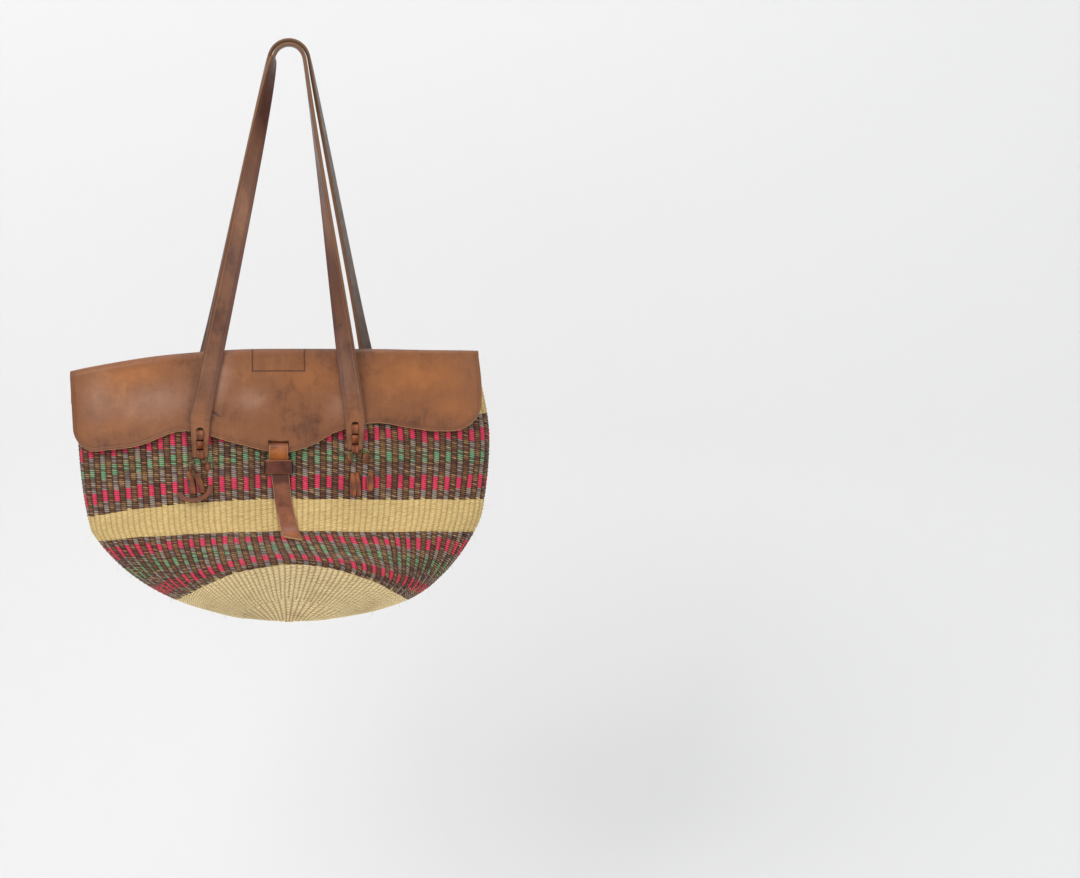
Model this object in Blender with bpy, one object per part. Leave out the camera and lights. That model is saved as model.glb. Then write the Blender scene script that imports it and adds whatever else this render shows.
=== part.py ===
"""Kiondo basket: a twined sisal tote with a leather flap, two shoulder straps, a closing tongue and thongs.

The basket hangs by its straps. The origin is where the underside of the front strap bears on its hook.
+Z is up, +X is to the right of someone who faces the front, and -Y is towards them. Lengths are in metres.
"""
import math

import bpy
import numpy as np

# Clearances
GAP = 0.0004
OVERRUN = 0.004

# Woven body
BODY_HALF_WIDTH = 0.206
BODY_DROP = 0.264
MOUTH_EDGE_Z = -0.315
BELLY_FRONT = 0.095
BELLY_BACK = 0.084
WALL = 0.004
BODY_COLUMNS = 56
BODY_STEPS_PER_RING = 3
SAMPLES = 240

# Rings that the weave passes through, from the mouth edge to the centre of the base. The first four
# columns are shares of the body's half width, the same, the front belly and the back belly: the ring's
# half width, its shift to the right, and its depth to the front and to the back. The next three are
# shares of the body's drop: how low the ring's middle, left end and right end lie. The last is the power
# that rounds the ring's ends, 1 for an ellipse.
RING_SHARES = (
    (0.976, -0.063, 0.263, 0.298, 0.000, 0.091, 0.006, 0.70),
    (1.000, -0.022, 0.316, 0.381, 0.265, 0.345, 0.268, 0.70),
    (0.966, -0.012, 0.350, 0.452, 0.527, 0.598, 0.530, 0.70),
    (0.917, -0.012, 0.430, 0.548, 0.648, 0.689, 0.652, 0.75),
    (0.767, 0.000, 0.715, 0.762, 0.708, 0.814, 0.803, 0.88),
    (0.570, 0.019, 1.000, 1.000, 0.768, 0.913, 0.913, 1.00),
    (0.290, 0.010, 0.540, 0.540, 0.892, 0.977, 0.977, 1.00),
    (0.000, 0.000, 0.000, 0.000, 1.000, 1.000, 1.000, 1.00),
)
RING_SCALES = (BODY_HALF_WIDTH, BODY_HALF_WIDTH, BELLY_FRONT, BELLY_BACK, BODY_DROP, BODY_DROP, BODY_DROP, 1)
LAST_OUTER_RING = 5

# Braided rim
BRAID_RADIUS = 0.0035
BRAID_SIDES = 6

# Flap: one piece of hide, sewn down the back, over the mouth and down the front
HIDE = 0.0025
FLAP_LEFT_OVERHANG = 0.0125
FLAP_RIGHT_SHORTFALL = 0.016
FLAP_LEFT_X = -BODY_HALF_WIDTH - FLAP_LEFT_OVERHANG
FLAP_RIGHT_X = BODY_HALF_WIDTH - FLAP_RIGHT_SHORTFALL
FLAP_END_MARGIN = 0.012
APRON_DROP = 0.104
APRON_CORNER = 0.026
BACK_LEAF_DROP = 0.042
BACK_LEAF_CORNER = 0.014
FLAP_COLUMNS = 38
FOLD_STEPS = 3
APRON_STEPS = 7
CROWN_STEPS = 4
BACK_LEAF_STEPS = 4

# The apron's scalloped edge: shares of the flap's length from the left, and of the apron's drop
SCALLOP_PLACE_SHARES = (0.0, 0.083, 0.166, 0.278, 0.397, 0.51, 0.583, 0.65, 0.745, 0.835, 0.90, 1.0)
SCALLOP_DROP_SHARES = (0.80, 0.83, 0.84, 0.75, 0.894, 1.0, 0.942, 0.80, 0.712, 0.76, 0.785, 0.77)

# Tongue, its slot in the apron and its keeper on the weave
TONGUE_THICK = 0.0024
TONGUE_WIDTH = 0.019
TONGUE_X = -0.0105
SLOT_HEIGHT = 0.0054
SLOT_ABOVE_EDGE = 0.0085
SLOT_SIDE_GAP = 0.0006
KEEPER_THICK = 0.002
KEEPER_HEIGHT = 0.014
KEEPER_HALF_SPAN = 0.0135
KEEPER_TOP_BELOW_EDGE = 0.0075
KEEPER_BOW = 0.0014
KEEPER_TAB = 0.008

# Room left between the weave and the flap, for the tongue's end in front and for the braid behind
TONGUE_ROOM = TONGUE_THICK + 3 * GAP
BRAID_ROOM = BRAID_RADIUS - WALL / 2 + GAP
FLAP_FOLD_RADIUS = BRAID_RADIUS + GAP + HIDE / 2

# The tongue below its slot: how far each point lies below the slot and to the right, its distance off
# the weave, and its width. Each is a share of the tongue's fall, of its drift, of its thickness or width.
TONGUE_FALL = 0.094
TONGUE_DRIFT = 0.017
TONGUE_BELOW_SHARES = (0.095, 0.135, 0.175, 0.235, 0.40, 0.58, 0.72, 0.84, 0.93, 1.0)
TONGUE_DRIFT_SHARES = (0.0, 0.0, 0.0, 0.03, 0.15, 0.26, 0.40, 0.56, 0.71, 0.85)
TONGUE_STAND_SHARES = (3.1, 1.9, 0.98, 0.72, 0.75, 0.9, 1.1, 1.3, 1.6, 2.0)
TONGUE_WIDTH_SHARES = (1.0, 1.0, 0.98, 0.95, 0.93, 0.92, 0.92, 0.92, 0.94, 0.96)

# Straps
STRAP_WIDTH = 0.0205
STRAP_THICK = 0.0034
STRAP_STACK_GAP = 0.0045
STRAP_STACK_SHIFT = 0.0045
HOOK_ARCH_RADIUS = 0.014
FLEX_Z = -0.376
STRAP_END_TAPER_SHARE = 0.74
ARCH_STEPS = 14
LEG_STEPS = 18
END_STEPS = 8
FRONT_FEET_X = (-0.0885, 0.066)
FRONT_END_Z = (-0.4165, -0.4095)
REAR_FEET_X = (-0.0975, 0.0915)
REAR_END_Z = (-0.4165, -0.4095)
# How soon a leg's twist is used up on its way down from the hook: 1 is steady, under 1 is early
FRONT_TWIST_POWERS = (0.42, 1.25)
REAR_TWIST_POWERS = (1.0, 1.0)

# Thongs that lace the strap ends to the weave
THONG_WIDTH = 0.0055
THONG_THICK = 0.0014
HOLE_PITCH = 0.0074
HOLE_BELOW_END = 0.0024
HOLE_HEIGHT = 0.0024
SHARED_HOLE_HEIGHT = 0.0046
TAIL_HOLE_OUT = 0.0052
TAIL_HOLE_BELOW = 0.009
TAIL_LENGTHS = (0.026, 0.023)
TAIL_DRIFTS = (-0.0035, -0.0035)
THONG_BEND_SHARE = 0.9
LOOP_LEFT = 0.0200
LOOP_RIGHT = 0.0105
LOOP_TOP_BELOW_END = 0.025
LOOP_DEPTH = 0.0150
LOOP_STEPS = 12

COLOURS = {
    "sisal": ((0.62, 0.45, 0.22, 1), 0.85),
    "hide": ((0.36, 0.14, 0.05, 1), 0.50),
    "strap": ((0.30, 0.12, 0.06, 1), 0.48),
    "thong": ((0.22, 0.08, 0.03, 1), 0.45),
}


def clear_scene():
    for item in list(bpy.data.objects):
        bpy.data.objects.remove(item, do_unlink=True)


def material(slot):
    """The slot's leather or sisal, made once."""
    made = bpy.data.materials.get(slot)
    if made is None:
        made = bpy.data.materials.new(slot)
        made.use_nodes = True
        colour, roughness = COLOURS[slot]
        shader = made.node_tree.nodes["Principled BSDF"]
        shader.inputs["Base Color"].default_value = colour
        shader.inputs["Roughness"].default_value = roughness
        shader.inputs["Metallic"].default_value = 0
    return made


def new_object(name, vertices, faces, slot):
    mesh = bpy.data.meshes.new(name)
    mesh.from_pydata([tuple(map(float, vertex)) for vertex in vertices], [], faces)
    mesh.validate()
    mesh.materials.append(material(slot))
    made = bpy.data.objects.new(name, mesh)
    bpy.context.scene.collection.objects.link(made)
    return made


def shade(made):
    """Smooth faces with their real edges kept sharp."""
    made.data.shade_smooth()
    made.data.set_sharp_from_angle(angle=math.radians(40))
    return made


def smooth_curve(knots, places):
    """A Catmull-Rom curve through the rows of `knots`, read at places counted in rows."""
    knots = np.asarray(knots, dtype=float)
    places = np.atleast_1d(places)
    padded = np.vstack([2 * knots[0] - knots[1], knots, 2 * knots[-1] - knots[-2]])
    start = np.clip(np.floor(places).astype(int), 0, len(knots) - 2)
    t = (places - start)[:, None]
    a, b, c, d = (padded[start + step] for step in range(4))
    return 0.5 * (2 * b + (c - a) * t + (2 * a - 5 * b + 4 * c - d) * t**2 + (3 * b - a - 3 * c + d) * t**3)


def unit(vectors):
    """Each row of `vectors` at length 1."""
    return vectors / np.maximum(np.linalg.norm(vectors, axis=-1, keepdims=True), np.finfo(float).tiny)


# Woven body

def ring_values(places):
    """The ring table in metres, read at `places` rows down it."""
    return smooth_curve(np.array(RING_SHARES) * RING_SCALES, places)


def ring_points(values, angles):
    """Points of one ring: angle 0 is its right end, and a quarter turn on is the middle of its back."""
    half, shift, front, back, middle, left, right, roundness = values
    cosine, sine = np.cos(angles), np.sin(angles)
    depth = np.where(sine >= 0, back, front) * np.sign(sine) * np.abs(sine) ** roundness
    side = np.where(cosine < 0, left, right)
    drop = side + (middle - side) * sine**2
    return np.stack([shift + half * cosine, depth, MOUTH_EDGE_Z - drop], axis=-1)


def body_grid(places, columns):
    """Rings of the weave's outer face at `places`, each with points at equal lengths around it."""
    angles = np.linspace(0, 2 * math.pi, SAMPLES + 1)
    rings = []
    for values in ring_values(places):
        dense = ring_points(values, angles)
        lengths = np.concatenate([[0], np.cumsum(np.linalg.norm(np.diff(dense, axis=0), axis=1))])
        targets = np.arange(columns) / columns * lengths[-1]
        rings.append(ring_points(values, np.interp(targets, lengths, angles)))
    return np.array(rings)


def grid_normals(grid, wraps):
    """Unit normals of a grid of points, from its neighbours' differences."""
    down = np.gradient(grid, axis=0)
    if wraps:
        across = np.roll(grid, -1, axis=1) - np.roll(grid, 1, axis=1)
    else:
        across = np.gradient(grid, axis=1)
    return unit(np.cross(across, down))


def woven_body():
    """The one-piece weave: an open shell, its base and wall continuous, with the holes the thongs use."""
    places = np.linspace(0, len(RING_SHARES) - 1, (len(RING_SHARES) - 1) * BODY_STEPS_PER_RING + 1)
    grid = body_grid(places[:-1], BODY_COLUMNS)
    pole = ring_points(ring_values(places[-1])[0], np.zeros(1))[0]
    inner = grid - outward_normals(grid) * WALL
    inner_pole = pole + np.array((0, 0, WALL))
    rows, columns = grid.shape[:2]
    vertices = list(grid.reshape(-1, 3)) + list(inner.reshape(-1, 3)) + [pole, inner_pole]
    offset = rows * columns
    faces = []
    for column in range(columns):
        after = (column + 1) % columns
        faces.append((column, after, offset + after, offset + column))
        for row in range(rows - 1):
            a, b = row * columns + column, row * columns + after
            faces.append((b, a, a + columns, b + columns))
            faces.append((offset + a, offset + b, offset + b + columns, offset + a + columns))
        a, b = (rows - 1) * columns + column, (rows - 1) * columns + after
        faces.append((b, a, 2 * offset))
        faces.append((offset + a, offset + b, 2 * offset + 1))
    return shade(new_object("woven_body", vertices, faces, "sisal"))


def outward_normals(grid):
    """The normals of the weave's rings, turned away from its middle."""
    normals = grid_normals(grid, True)
    outward = grid - grid.mean(axis=(0, 1))
    return normals * np.sign((normals * outward).sum())


def outer_samples():
    """The ring table from the mouth down to the edge of the base, finely sampled."""
    return ring_values(np.linspace(0, LAST_OUTER_RING, SAMPLES)).T


OUTER = outer_samples()


def weave_depth(x, z, rear, stand_off=0.0, end_margin=0.0):
    """How far a face lies from the mid plane at x and z, when it stands off the weave's outer face."""
    half, shift, front, back, middle, left, right, roundness = OUTER
    cosine = np.clip((x - shift) / (half + max(stand_off, end_margin)), -1, 1)
    sine = np.sqrt(1 - cosine**2)
    depth = ((back if rear else front) + stand_off) * sine**roundness
    side = left if x < shift[0] else right
    drop = side + (middle - side) * sine**2
    return float(np.interp(MOUTH_EDGE_Z - z, drop, depth))


def weave_across(x, z, rear):
    """The direction along the weave at x and z, level and towards +X."""
    reach = THONG_WIDTH / 2
    rise = weave_depth(x + reach, z, rear) - weave_depth(x - reach, z, rear)
    return (2 * reach, rise if rear else -rise, 0)


def mouth_z(x, end_margin=FLAP_END_MARGIN):
    """Height of the weave's top edge at x."""
    half, shift, _, _, middle, left, right, _ = ring_values(0)[0]
    cosine = max(-1, min(1, (x - shift) / (half + end_margin)))
    side = left if cosine < 0 else right
    return MOUTH_EDGE_Z - (side + (middle - side) * (1 - cosine**2))


def rim_braid():
    """The plaited warp ends: a closed roll along the mouth, on the edge of the weave."""
    ring = body_grid(np.zeros(1), BODY_COLUMNS)[0]
    along = unit(np.roll(ring, -1, axis=0) - np.roll(ring, 1, axis=0))
    inward = unit(np.cross(np.array((0, 0, 1)), along))
    centre = ring + inward * WALL / 2 + np.array((0, 0, BRAID_RADIUS + GAP))
    turns = np.arange(BRAID_SIDES) / BRAID_SIDES * 2 * math.pi
    up = np.array((0, 0, 1))
    grid = (centre[:, None] + BRAID_RADIUS * (np.cos(turns)[None, :, None] * inward[:, None]
                                              + np.sin(turns)[None, :, None] * up))
    rows, columns = grid.shape[:2]
    faces = []
    for row in range(rows):
        for column in range(columns):
            a, b = row * columns + column, row * columns + (column + 1) % columns
            c, d = (row + 1) % rows * columns + (column + 1) % columns, (row + 1) % rows * columns + column
            faces.append((a, b, c, d))
    return shade(new_object("rim_braid", grid.reshape(-1, 3), faces, "sisal"))


# Leather, as sheets with a thickness

def sheet_solid(name, grid, thickness, slot):
    """A closed solid around a grid of mid-surface points, half its thickness to each side."""
    normals = grid_normals(grid, False)
    rows, columns = grid.shape[:2]
    offset = rows * columns
    vertices = list((grid + normals * thickness / 2).reshape(-1, 3))
    vertices += list((grid - normals * thickness / 2).reshape(-1, 3))
    faces = []
    for row in range(rows - 1):
        for column in range(columns - 1):
            a = row * columns + column
            faces.append((a, a + 1, a + columns + 1, a + columns))
            faces.append((offset + a, offset + a + columns, offset + a + columns + 1, offset + a + 1))
    border = [(row * columns, (row + 1) * columns) for row in range(rows - 1)]
    border += [((rows - 1) * columns + step, (rows - 1) * columns + step + 1) for step in range(columns - 1)]
    border += [((row + 1) * columns - 1, row * columns - 1) for row in range(rows - 1, 0, -1)]
    border += [(step + 1, step) for step in range(columns - 2, -1, -1)]
    for a, b in border:
        faces.append((a, b, offset + b, offset + a))
    return shade(new_object(name, vertices, faces, slot))


def ribbon(name, path, across, widths, thickness, slot):
    """A strip of leather along `path`, `across` giving the direction of its width at each point."""
    path = np.asarray(path, dtype=float)
    across = unit(np.asarray(across, dtype=float) * np.ones_like(path))
    sides = (np.asarray(widths, dtype=float) / 2 * np.ones(len(path)))[:, None] * across
    return sheet_solid(name, np.stack([path - sides, path, path + sides], axis=1), thickness, slot)


def box_cutter(name, boxes):
    """One cutter of separate upright boxes, each given by two opposite corners."""
    vertices, faces = [], []
    for low, high in boxes:
        start = len(vertices)
        vertices += [(x, y, z) for z in (low[2], high[2]) for y in (low[1], high[1]) for x in (low[0], high[0])]
        for face in ((0, 2, 3, 1), (4, 5, 7, 6), (0, 1, 5, 4), (2, 6, 7, 3), (0, 4, 6, 2), (1, 3, 7, 5)):
            faces.append(tuple(start + corner for corner in face))
    made = new_object(name, vertices, faces, "hide")
    made.hide_render = True
    made.display_type = "WIRE"
    made.hide_set(True)
    return made


def cut(target, cutter):
    hole = target.modifiers.new("holes", "BOOLEAN")
    hole.object = cutter
    hole.operation = "DIFFERENCE"
    hole.solver = "EXACT"


# Flap

def flap_top_z(x):
    """Height of the middle of the hide where the flap lies over the braided rim."""
    return mouth_z(x) + 2 * GAP + 2 * BRAID_RADIUS + HIDE / 2


def apron_edge_z(x):
    """Height of the apron's scalloped lower edge at x, its end corners rounded."""
    place = (x - FLAP_LEFT_X) / (FLAP_RIGHT_X - FLAP_LEFT_X)
    row = np.interp(place, SCALLOP_PLACE_SHARES, np.arange(len(SCALLOP_PLACE_SHARES)))
    drop = APRON_DROP * smooth_curve(np.array(SCALLOP_DROP_SHARES)[:, None], row)[0, 0]
    return flap_top_z(x) + HIDE / 2 - drop + corner_rise(x, APRON_CORNER)


def corner_rise(x, radius):
    """How much higher a flap's edge lies near its ends, where a corner of that radius rounds it."""
    inset = max(0, radius - min(x - FLAP_LEFT_X, FLAP_RIGHT_X - x))
    return radius - math.sqrt(max(0, radius**2 - inset**2))


def back_leaf_edge_z(x):
    return flap_top_z(x) - BACK_LEAF_DROP + corner_rise(x, BACK_LEAF_CORNER)


def flap_columns():
    """Places along the flap, closer together at its ends."""
    even = np.linspace(0, 1, FLAP_COLUMNS)
    eased = (1 - np.cos(math.pi * even)) / 2
    return FLAP_LEFT_X + (FLAP_RIGHT_X - FLAP_LEFT_X) * (even + eased) / 2


def flap_room(rear):
    """Room between the weave's outer face and the flap."""
    return BRAID_ROOM if rear else TONGUE_ROOM


def flap_half_depth(x, rear):
    """From the mid plane to the middle of the hide, where the flap turns down at the mouth."""
    stand_off = HIDE / 2 + flap_room(rear)
    return weave_depth(x, MOUTH_EDGE_Z, rear, stand_off, FLAP_END_MARGIN)


def hanging_leaf(x, rear, edge_z, steps):
    """Mid-surface points of a leaf that folds over the mouth's edge and hangs down the weave at x."""
    outward = 1 if rear else -1
    depth, top = flap_half_depth(x, rear), flap_top_z(x)
    points = []
    for step in range(FOLD_STEPS):
        turn = math.pi / 2 * step / FOLD_STEPS
        y = depth - FLAP_FOLD_RADIUS * (1 - math.sin(turn))
        points.append((x, outward * y, top - FLAP_FOLD_RADIUS * (1 - math.cos(turn))))
    stand_off = HIDE / 2 + flap_room(rear)
    for z in np.linspace(top - FLAP_FOLD_RADIUS, edge_z, steps + 1):
        points.append((x, outward * weave_depth(x, z, rear, stand_off, FLAP_END_MARGIN), z))
    return points


def flap_crown():
    """The flat of the flap over the mouth, between its two folds."""
    grid = []
    for x in flap_columns():
        front = -flap_half_depth(x, False) + FLAP_FOLD_RADIUS + GAP
        back = flap_half_depth(x, True) - FLAP_FOLD_RADIUS - GAP
        grid.append([(x, y, flap_top_z(x)) for y in np.linspace(front, back, CROWN_STEPS + 1)])
    return sheet_solid("flap_crown", np.array(grid), HIDE, "hide")


def flap_apron():
    """The front of the flap, from its fold to its scalloped edge, with the tongue's slot."""
    grid = [hanging_leaf(x, False, apron_edge_z(x), APRON_STEPS) for x in flap_columns()]
    apron = sheet_solid("flap_apron", np.array(grid), HIDE, "hide")
    half = TONGUE_WIDTH / 2 + SLOT_SIDE_GAP
    face = weave_depth(TONGUE_X, slot_z(), False)
    low = (TONGUE_X - half, -face - TONGUE_ROOM - HIDE - OVERRUN, slot_z() - SLOT_HEIGHT / 2)
    high = (TONGUE_X + half, -face + OVERRUN, slot_z() + SLOT_HEIGHT / 2)
    cut(apron, box_cutter("tongue_slot_cutter", [(low, high)]))
    return apron


def flap_back_leaf():
    """The back of the flap, sewn to the weave below the mouth."""
    grid = [hanging_leaf(x, True, back_leaf_edge_z(x), BACK_LEAF_STEPS) for x in flap_columns()]
    return sheet_solid("flap_back_leaf", np.array(grid), HIDE, "hide")


# Tongue and keeper

def slot_z():
    return apron_edge_z(TONGUE_X) + SLOT_ABOVE_EDGE


def closure_tongue():
    """A strap end that starts behind the apron, comes out of its slot and tucks through the keeper."""
    behind = GAP + TONGUE_THICK / 2
    outside = TONGUE_ROOM + HIDE + GAP + TONGUE_THICK / 2
    top = slot_z()
    knots = [
        (TONGUE_X, behind, top + SLOT_HEIGHT * 3, TONGUE_WIDTH),
        (TONGUE_X, behind, top + SLOT_HEIGHT, TONGUE_WIDTH),
        (TONGUE_X, behind, top + SLOT_HEIGHT / 3, TONGUE_WIDTH),
        (TONGUE_X, TONGUE_ROOM + HIDE / 2, top, TONGUE_WIDTH),
        (TONGUE_X, outside + GAP, top - SLOT_HEIGHT / 2, TONGUE_WIDTH),
        (TONGUE_X, outside + TONGUE_THICK / 2, top - SLOT_HEIGHT, TONGUE_WIDTH),
    ]
    for below, drift, stand, width in zip(TONGUE_BELOW_SHARES, TONGUE_DRIFT_SHARES, TONGUE_STAND_SHARES,
                                          TONGUE_WIDTH_SHARES):
        knots.append((TONGUE_X + TONGUE_DRIFT * drift, TONGUE_THICK * stand, top - TONGUE_FALL * below,
                      TONGUE_WIDTH * width))
    curve = smooth_curve(knots, np.linspace(0, len(knots) - 1, 2 * len(knots) - 1))
    path = [(x, -weave_depth(x, z, False) - stand, z) for x, stand, z, _ in curve]
    across = [weave_across(x, z, False) for x, _, z, _ in curve]
    return ribbon("closure_tongue", path, across, curve[:, 3], TONGUE_THICK, "strap")


def keeper_z():
    return apron_edge_z(TONGUE_X) - KEEPER_TOP_BELOW_EDGE - KEEPER_HEIGHT / 2


def tongue_keeper():
    """A leather loop over the tongue, its ends through the weave and turned apart inside."""
    x, z = TONGUE_X, keeper_z()
    out = TONGUE_THICK + 2 * GAP + KEEPER_THICK / 2
    inside = WALL + GAP + KEEPER_THICK / 2
    half = KEEPER_HALF_SPAN
    side = [
        (half + KEEPER_TAB, inside), (half + KEEPER_TAB / 2, inside), (half + KEEPER_THICK, inside),
        (half, WALL), (half, 0), (half - GAP, -out / 2), (half - KEEPER_THICK, -out - KEEPER_BOW / 2),
    ]
    route = [(x - over, deep) for over, deep in side] + [(x, -out - KEEPER_BOW)]
    route += [(x + over, deep) for over, deep in reversed(side)]
    knots = np.array([(place, deep - weave_depth(place, z, False), z) for place, deep in route])
    curve = smooth_curve(knots, np.linspace(0, len(knots) - 1, 2 * len(knots) - 1))
    return ribbon("tongue_keeper", curve, (0, 0, 1), KEEPER_HEIGHT, KEEPER_THICK, "strap")


def keeper_holes():
    z = keeper_z()
    half_height = KEEPER_HEIGHT / 2 + GAP
    half_thick = KEEPER_THICK / 2 + 2 * GAP
    boxes = []
    for side in (-1, 1):
        middle = TONGUE_X + side * KEEPER_HALF_SPAN
        face = -weave_depth(middle, z, False)
        boxes.append(((middle - half_thick, face - OVERRUN, z - half_height),
                      (middle + half_thick, face + WALL + OVERRUN, z + half_height)))
    return boxes


# Straps

def over_flap(x, rear):
    """Distance off the weave of the middle of a strap that lies on the flap."""
    return flap_room(rear) + HIDE + GAP + STRAP_THICK / 2


def strap_stand(x, z, rear):
    """Distance off the weave of the middle of a strap, which steps down past the flap and its flex line."""
    on_weave = GAP + STRAP_THICK / 2
    edge_z = back_leaf_edge_z if rear else apron_edge_z
    edge = min(FLEX_Z, *(edge_z(x + side * STRAP_WIDTH / 2) for side in (-1, 0, 1)))
    step = np.clip((edge - STRAP_THICK / 2 - z) / (2 * STRAP_THICK), 0, 1)
    eased = step * step * (3 - 2 * step)
    return over_flap(x, rear) * (1 - eased) + on_weave * eased


def strap_face_y(x, z, rear):
    """The y of the middle of a strap that lies against the bag at x and z."""
    return (1 if rear else -1) * (weave_depth(x, z, rear) + strap_stand(x, z, rear))


def strap_arch(rear):
    """Radius and centre height of the middle of a strap where it goes over the hook."""
    radius = HOOK_ARCH_RADIUS + STRAP_THICK / 2
    if rear:
        radius += STRAP_THICK + STRAP_STACK_GAP
    return radius, -HOOK_ARCH_RADIUS


def leg(foot_x, power, rear):
    """One leg from the hook down to the flex line: its points, and the directions its face looks in."""
    radius, centre = strap_arch(rear)
    side = 1 if foot_x > 0 else -1
    outward = 1 if rear else -1
    shift = outward * STRAP_STACK_SHIFT
    lean = math.atan2(abs(foot_x) - radius, centre - FLEX_Z)
    start_x, start_z = side * radius * math.cos(lean), centre + radius * math.sin(lean)
    flap_z = flap_top_z(foot_x)
    points, facings = [], []
    for step in range(1, LEG_STEPS + 1):
        share = step / LEG_STEPS
        x = start_x + (foot_x - start_x) * share
        z = start_z + (FLEX_Z + GAP - start_z) * share
        turn = math.pi / 2 * share**power
        fold_share = min(1, (start_z - z) / (start_z - flap_z))
        edge_room = outward * STRAP_WIDTH / 2 * math.cos(turn)
        rest_y = strap_face_y(x, min(z, flap_z), rear) + edge_room
        points.append((x, shift + (rest_y - shift) * fold_share, z))
        run, rise, _ = weave_across(x, min(z, flap_z), rear)
        flat = unit(np.array((-outward * rise, outward * run, 0)))
        facings.append(side * math.cos(turn) * np.array((1, 0, 0)) + math.sin(turn) * flat)
    return points, facings


def strap(name, feet_x, powers, rear):
    """A carrying strap from one flex line over the hook to the other, each leg twisted a quarter turn."""
    radius, centre = strap_arch(rear)
    left_points, left_facings = leg(feet_x[0], powers[0], rear)
    right_points, right_facings = leg(feet_x[1], powers[1], rear)
    leans = [math.atan2(abs(x) - radius, centre - FLEX_Z) for x in feet_x]
    turns = np.linspace(-math.pi / 2 + leans[0], math.pi / 2 - leans[1], ARCH_STEPS + 1)
    shift = STRAP_STACK_SHIFT if rear else -STRAP_STACK_SHIFT
    points = left_points[::-1] + [(radius * math.sin(t), shift, centre + radius * math.cos(t)) for t in turns]
    facings = left_facings[::-1] + [(math.sin(t), 0, math.cos(t)) for t in turns]
    points += right_points
    facings += right_facings
    along = unit(np.gradient(np.array(points), axis=0))
    along[0], along[-1] = (0, 0, 1), (0, 0, -1)
    across = np.cross(along, np.array(facings))
    return ribbon(name, points, across, STRAP_WIDTH, STRAP_THICK, "strap")


def strap_end(name, foot_x, end_z, rear):
    """The laced end of a strap, below the line where the leather bends."""
    zs = np.linspace(FLEX_Z - GAP, end_z, END_STEPS + 1)
    share = (FLEX_Z - zs) / (FLEX_Z - end_z)
    widths = STRAP_WIDTH * (1 - (1 - STRAP_END_TAPER_SHARE) * share**2)
    path = [(foot_x, strap_face_y(foot_x, z, rear), z) for z in zs]
    across = [weave_across(foot_x, z, rear) for z in zs]
    return ribbon(name, path, across, widths, STRAP_THICK, "strap")


# Lacing

def lace_holes(foot_x, end_z):
    """Holes of one strap end as (x, z, height): down the strap, below its end, and for the tails."""
    last = end_z - HOLE_BELOW_END
    holes = [(foot_x, last + 3 * HOLE_PITCH, HOLE_HEIGHT),
             (foot_x, last + 2 * HOLE_PITCH, SHARED_HOLE_HEIGHT),
             (foot_x, last + HOLE_PITCH, SHARED_HOLE_HEIGHT),
             (foot_x, last, HOLE_HEIGHT)]
    holes += [(foot_x + side * TAIL_HOLE_OUT, last - TAIL_HOLE_BELOW, HOLE_HEIGHT) for side in (-1, 1)]
    return holes


def hole_boxes(holes, rear):
    """Boxes through the strap end and the weave at each hole."""
    outward = 1 if rear else -1
    half = THONG_WIDTH / 2 + GAP
    boxes = []
    for x, z, height in holes:
        face = weave_depth(x, z, rear)
        ys = sorted((outward * (face + over_flap(x, rear) + OVERRUN), outward * (face - WALL - OVERRUN)))
        boxes.append(((x - half, ys[0], z - height / 2), (x + half, ys[1], z + height / 2)))
    return boxes


def lace(name, foot_x, end_z, rear):
    """One thong: its tails hang below, and between them it climbs inside and comes down in three stitches."""
    holes = lace_holes(foot_x, end_z)
    half = THONG_THICK / 2
    inside = -(WALL + GAP + half)
    deeper = inside - THONG_THICK - 2 * GAP
    floor = GAP + half
    reach = THONG_THICK * THONG_BEND_SHARE

    def over(z):
        """Off the weave, on top of the strap end."""
        return strap_stand(foot_x, z, rear) + STRAP_THICK / 2 + GAP + half

    def tail(hole, length, drift):
        """From a tail's tip up to its hole and through the weave."""
        x, z, _ = hole
        return [(x + drift, floor, z - length), (x + drift, floor, z - length * 2 / 3),
                (x + drift / 2, floor, z - length / 3), (x, floor, z - reach),
                (x, floor - reach / 2, z - reach / 4), (x, -WALL / 2, z),
                (x, inside + reach / 2, z + reach / 4), (x, inside, z + reach)]

    def stitch(upper, lower):
        """Out of the upper hole, down over the strap end and in at the lower one."""
        high = upper[1] - (upper[2] - HOLE_HEIGHT) / 2
        low = lower[1] + (lower[2] - HOLE_HEIGHT) / 2
        return [(foot_x, -WALL / 2, high), (foot_x, over(high) - reach / 2, high - reach / 4),
                (foot_x, over(high), high - reach), (foot_x, over(low), low + reach),
                (foot_x, over(low) - reach / 2, low + reach / 4), (foot_x, -WALL / 2, low)]

    first, second, third, fourth, left_tail, right_tail = holes
    local = tail(left_tail, TAIL_LENGTHS[0], TAIL_DRIFTS[0])
    local += [(left_tail[0], deeper, left_tail[1] + 3 * reach), (foot_x, deeper, third[1]),
              (foot_x, deeper, second[1]), (foot_x, deeper, first[1] - 3 * reach),
              (foot_x, inside, first[1] - reach), (foot_x, inside + reach / 2, first[1] - reach / 4)]
    local += stitch(first, second) + [(foot_x, inside, second[1])]
    local += stitch(second, third) + [(foot_x, inside, third[1])]
    local += stitch(third, fourth)
    local += [(foot_x, inside + reach / 2, fourth[1] - reach / 4), (foot_x, inside, fourth[1] - reach)]
    local += tail(right_tail, TAIL_LENGTHS[1], TAIL_DRIFTS[1])[::-1]
    outward = 1 if rear else -1
    path = [(x, outward * (weave_depth(x, z, rear) + depth), z) for x, depth, z in local]
    across = [weave_across(x, z, rear) for x, _, z in local]
    return ribbon(name, path, across, THONG_WIDTH, THONG_THICK, "thong")


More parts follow.
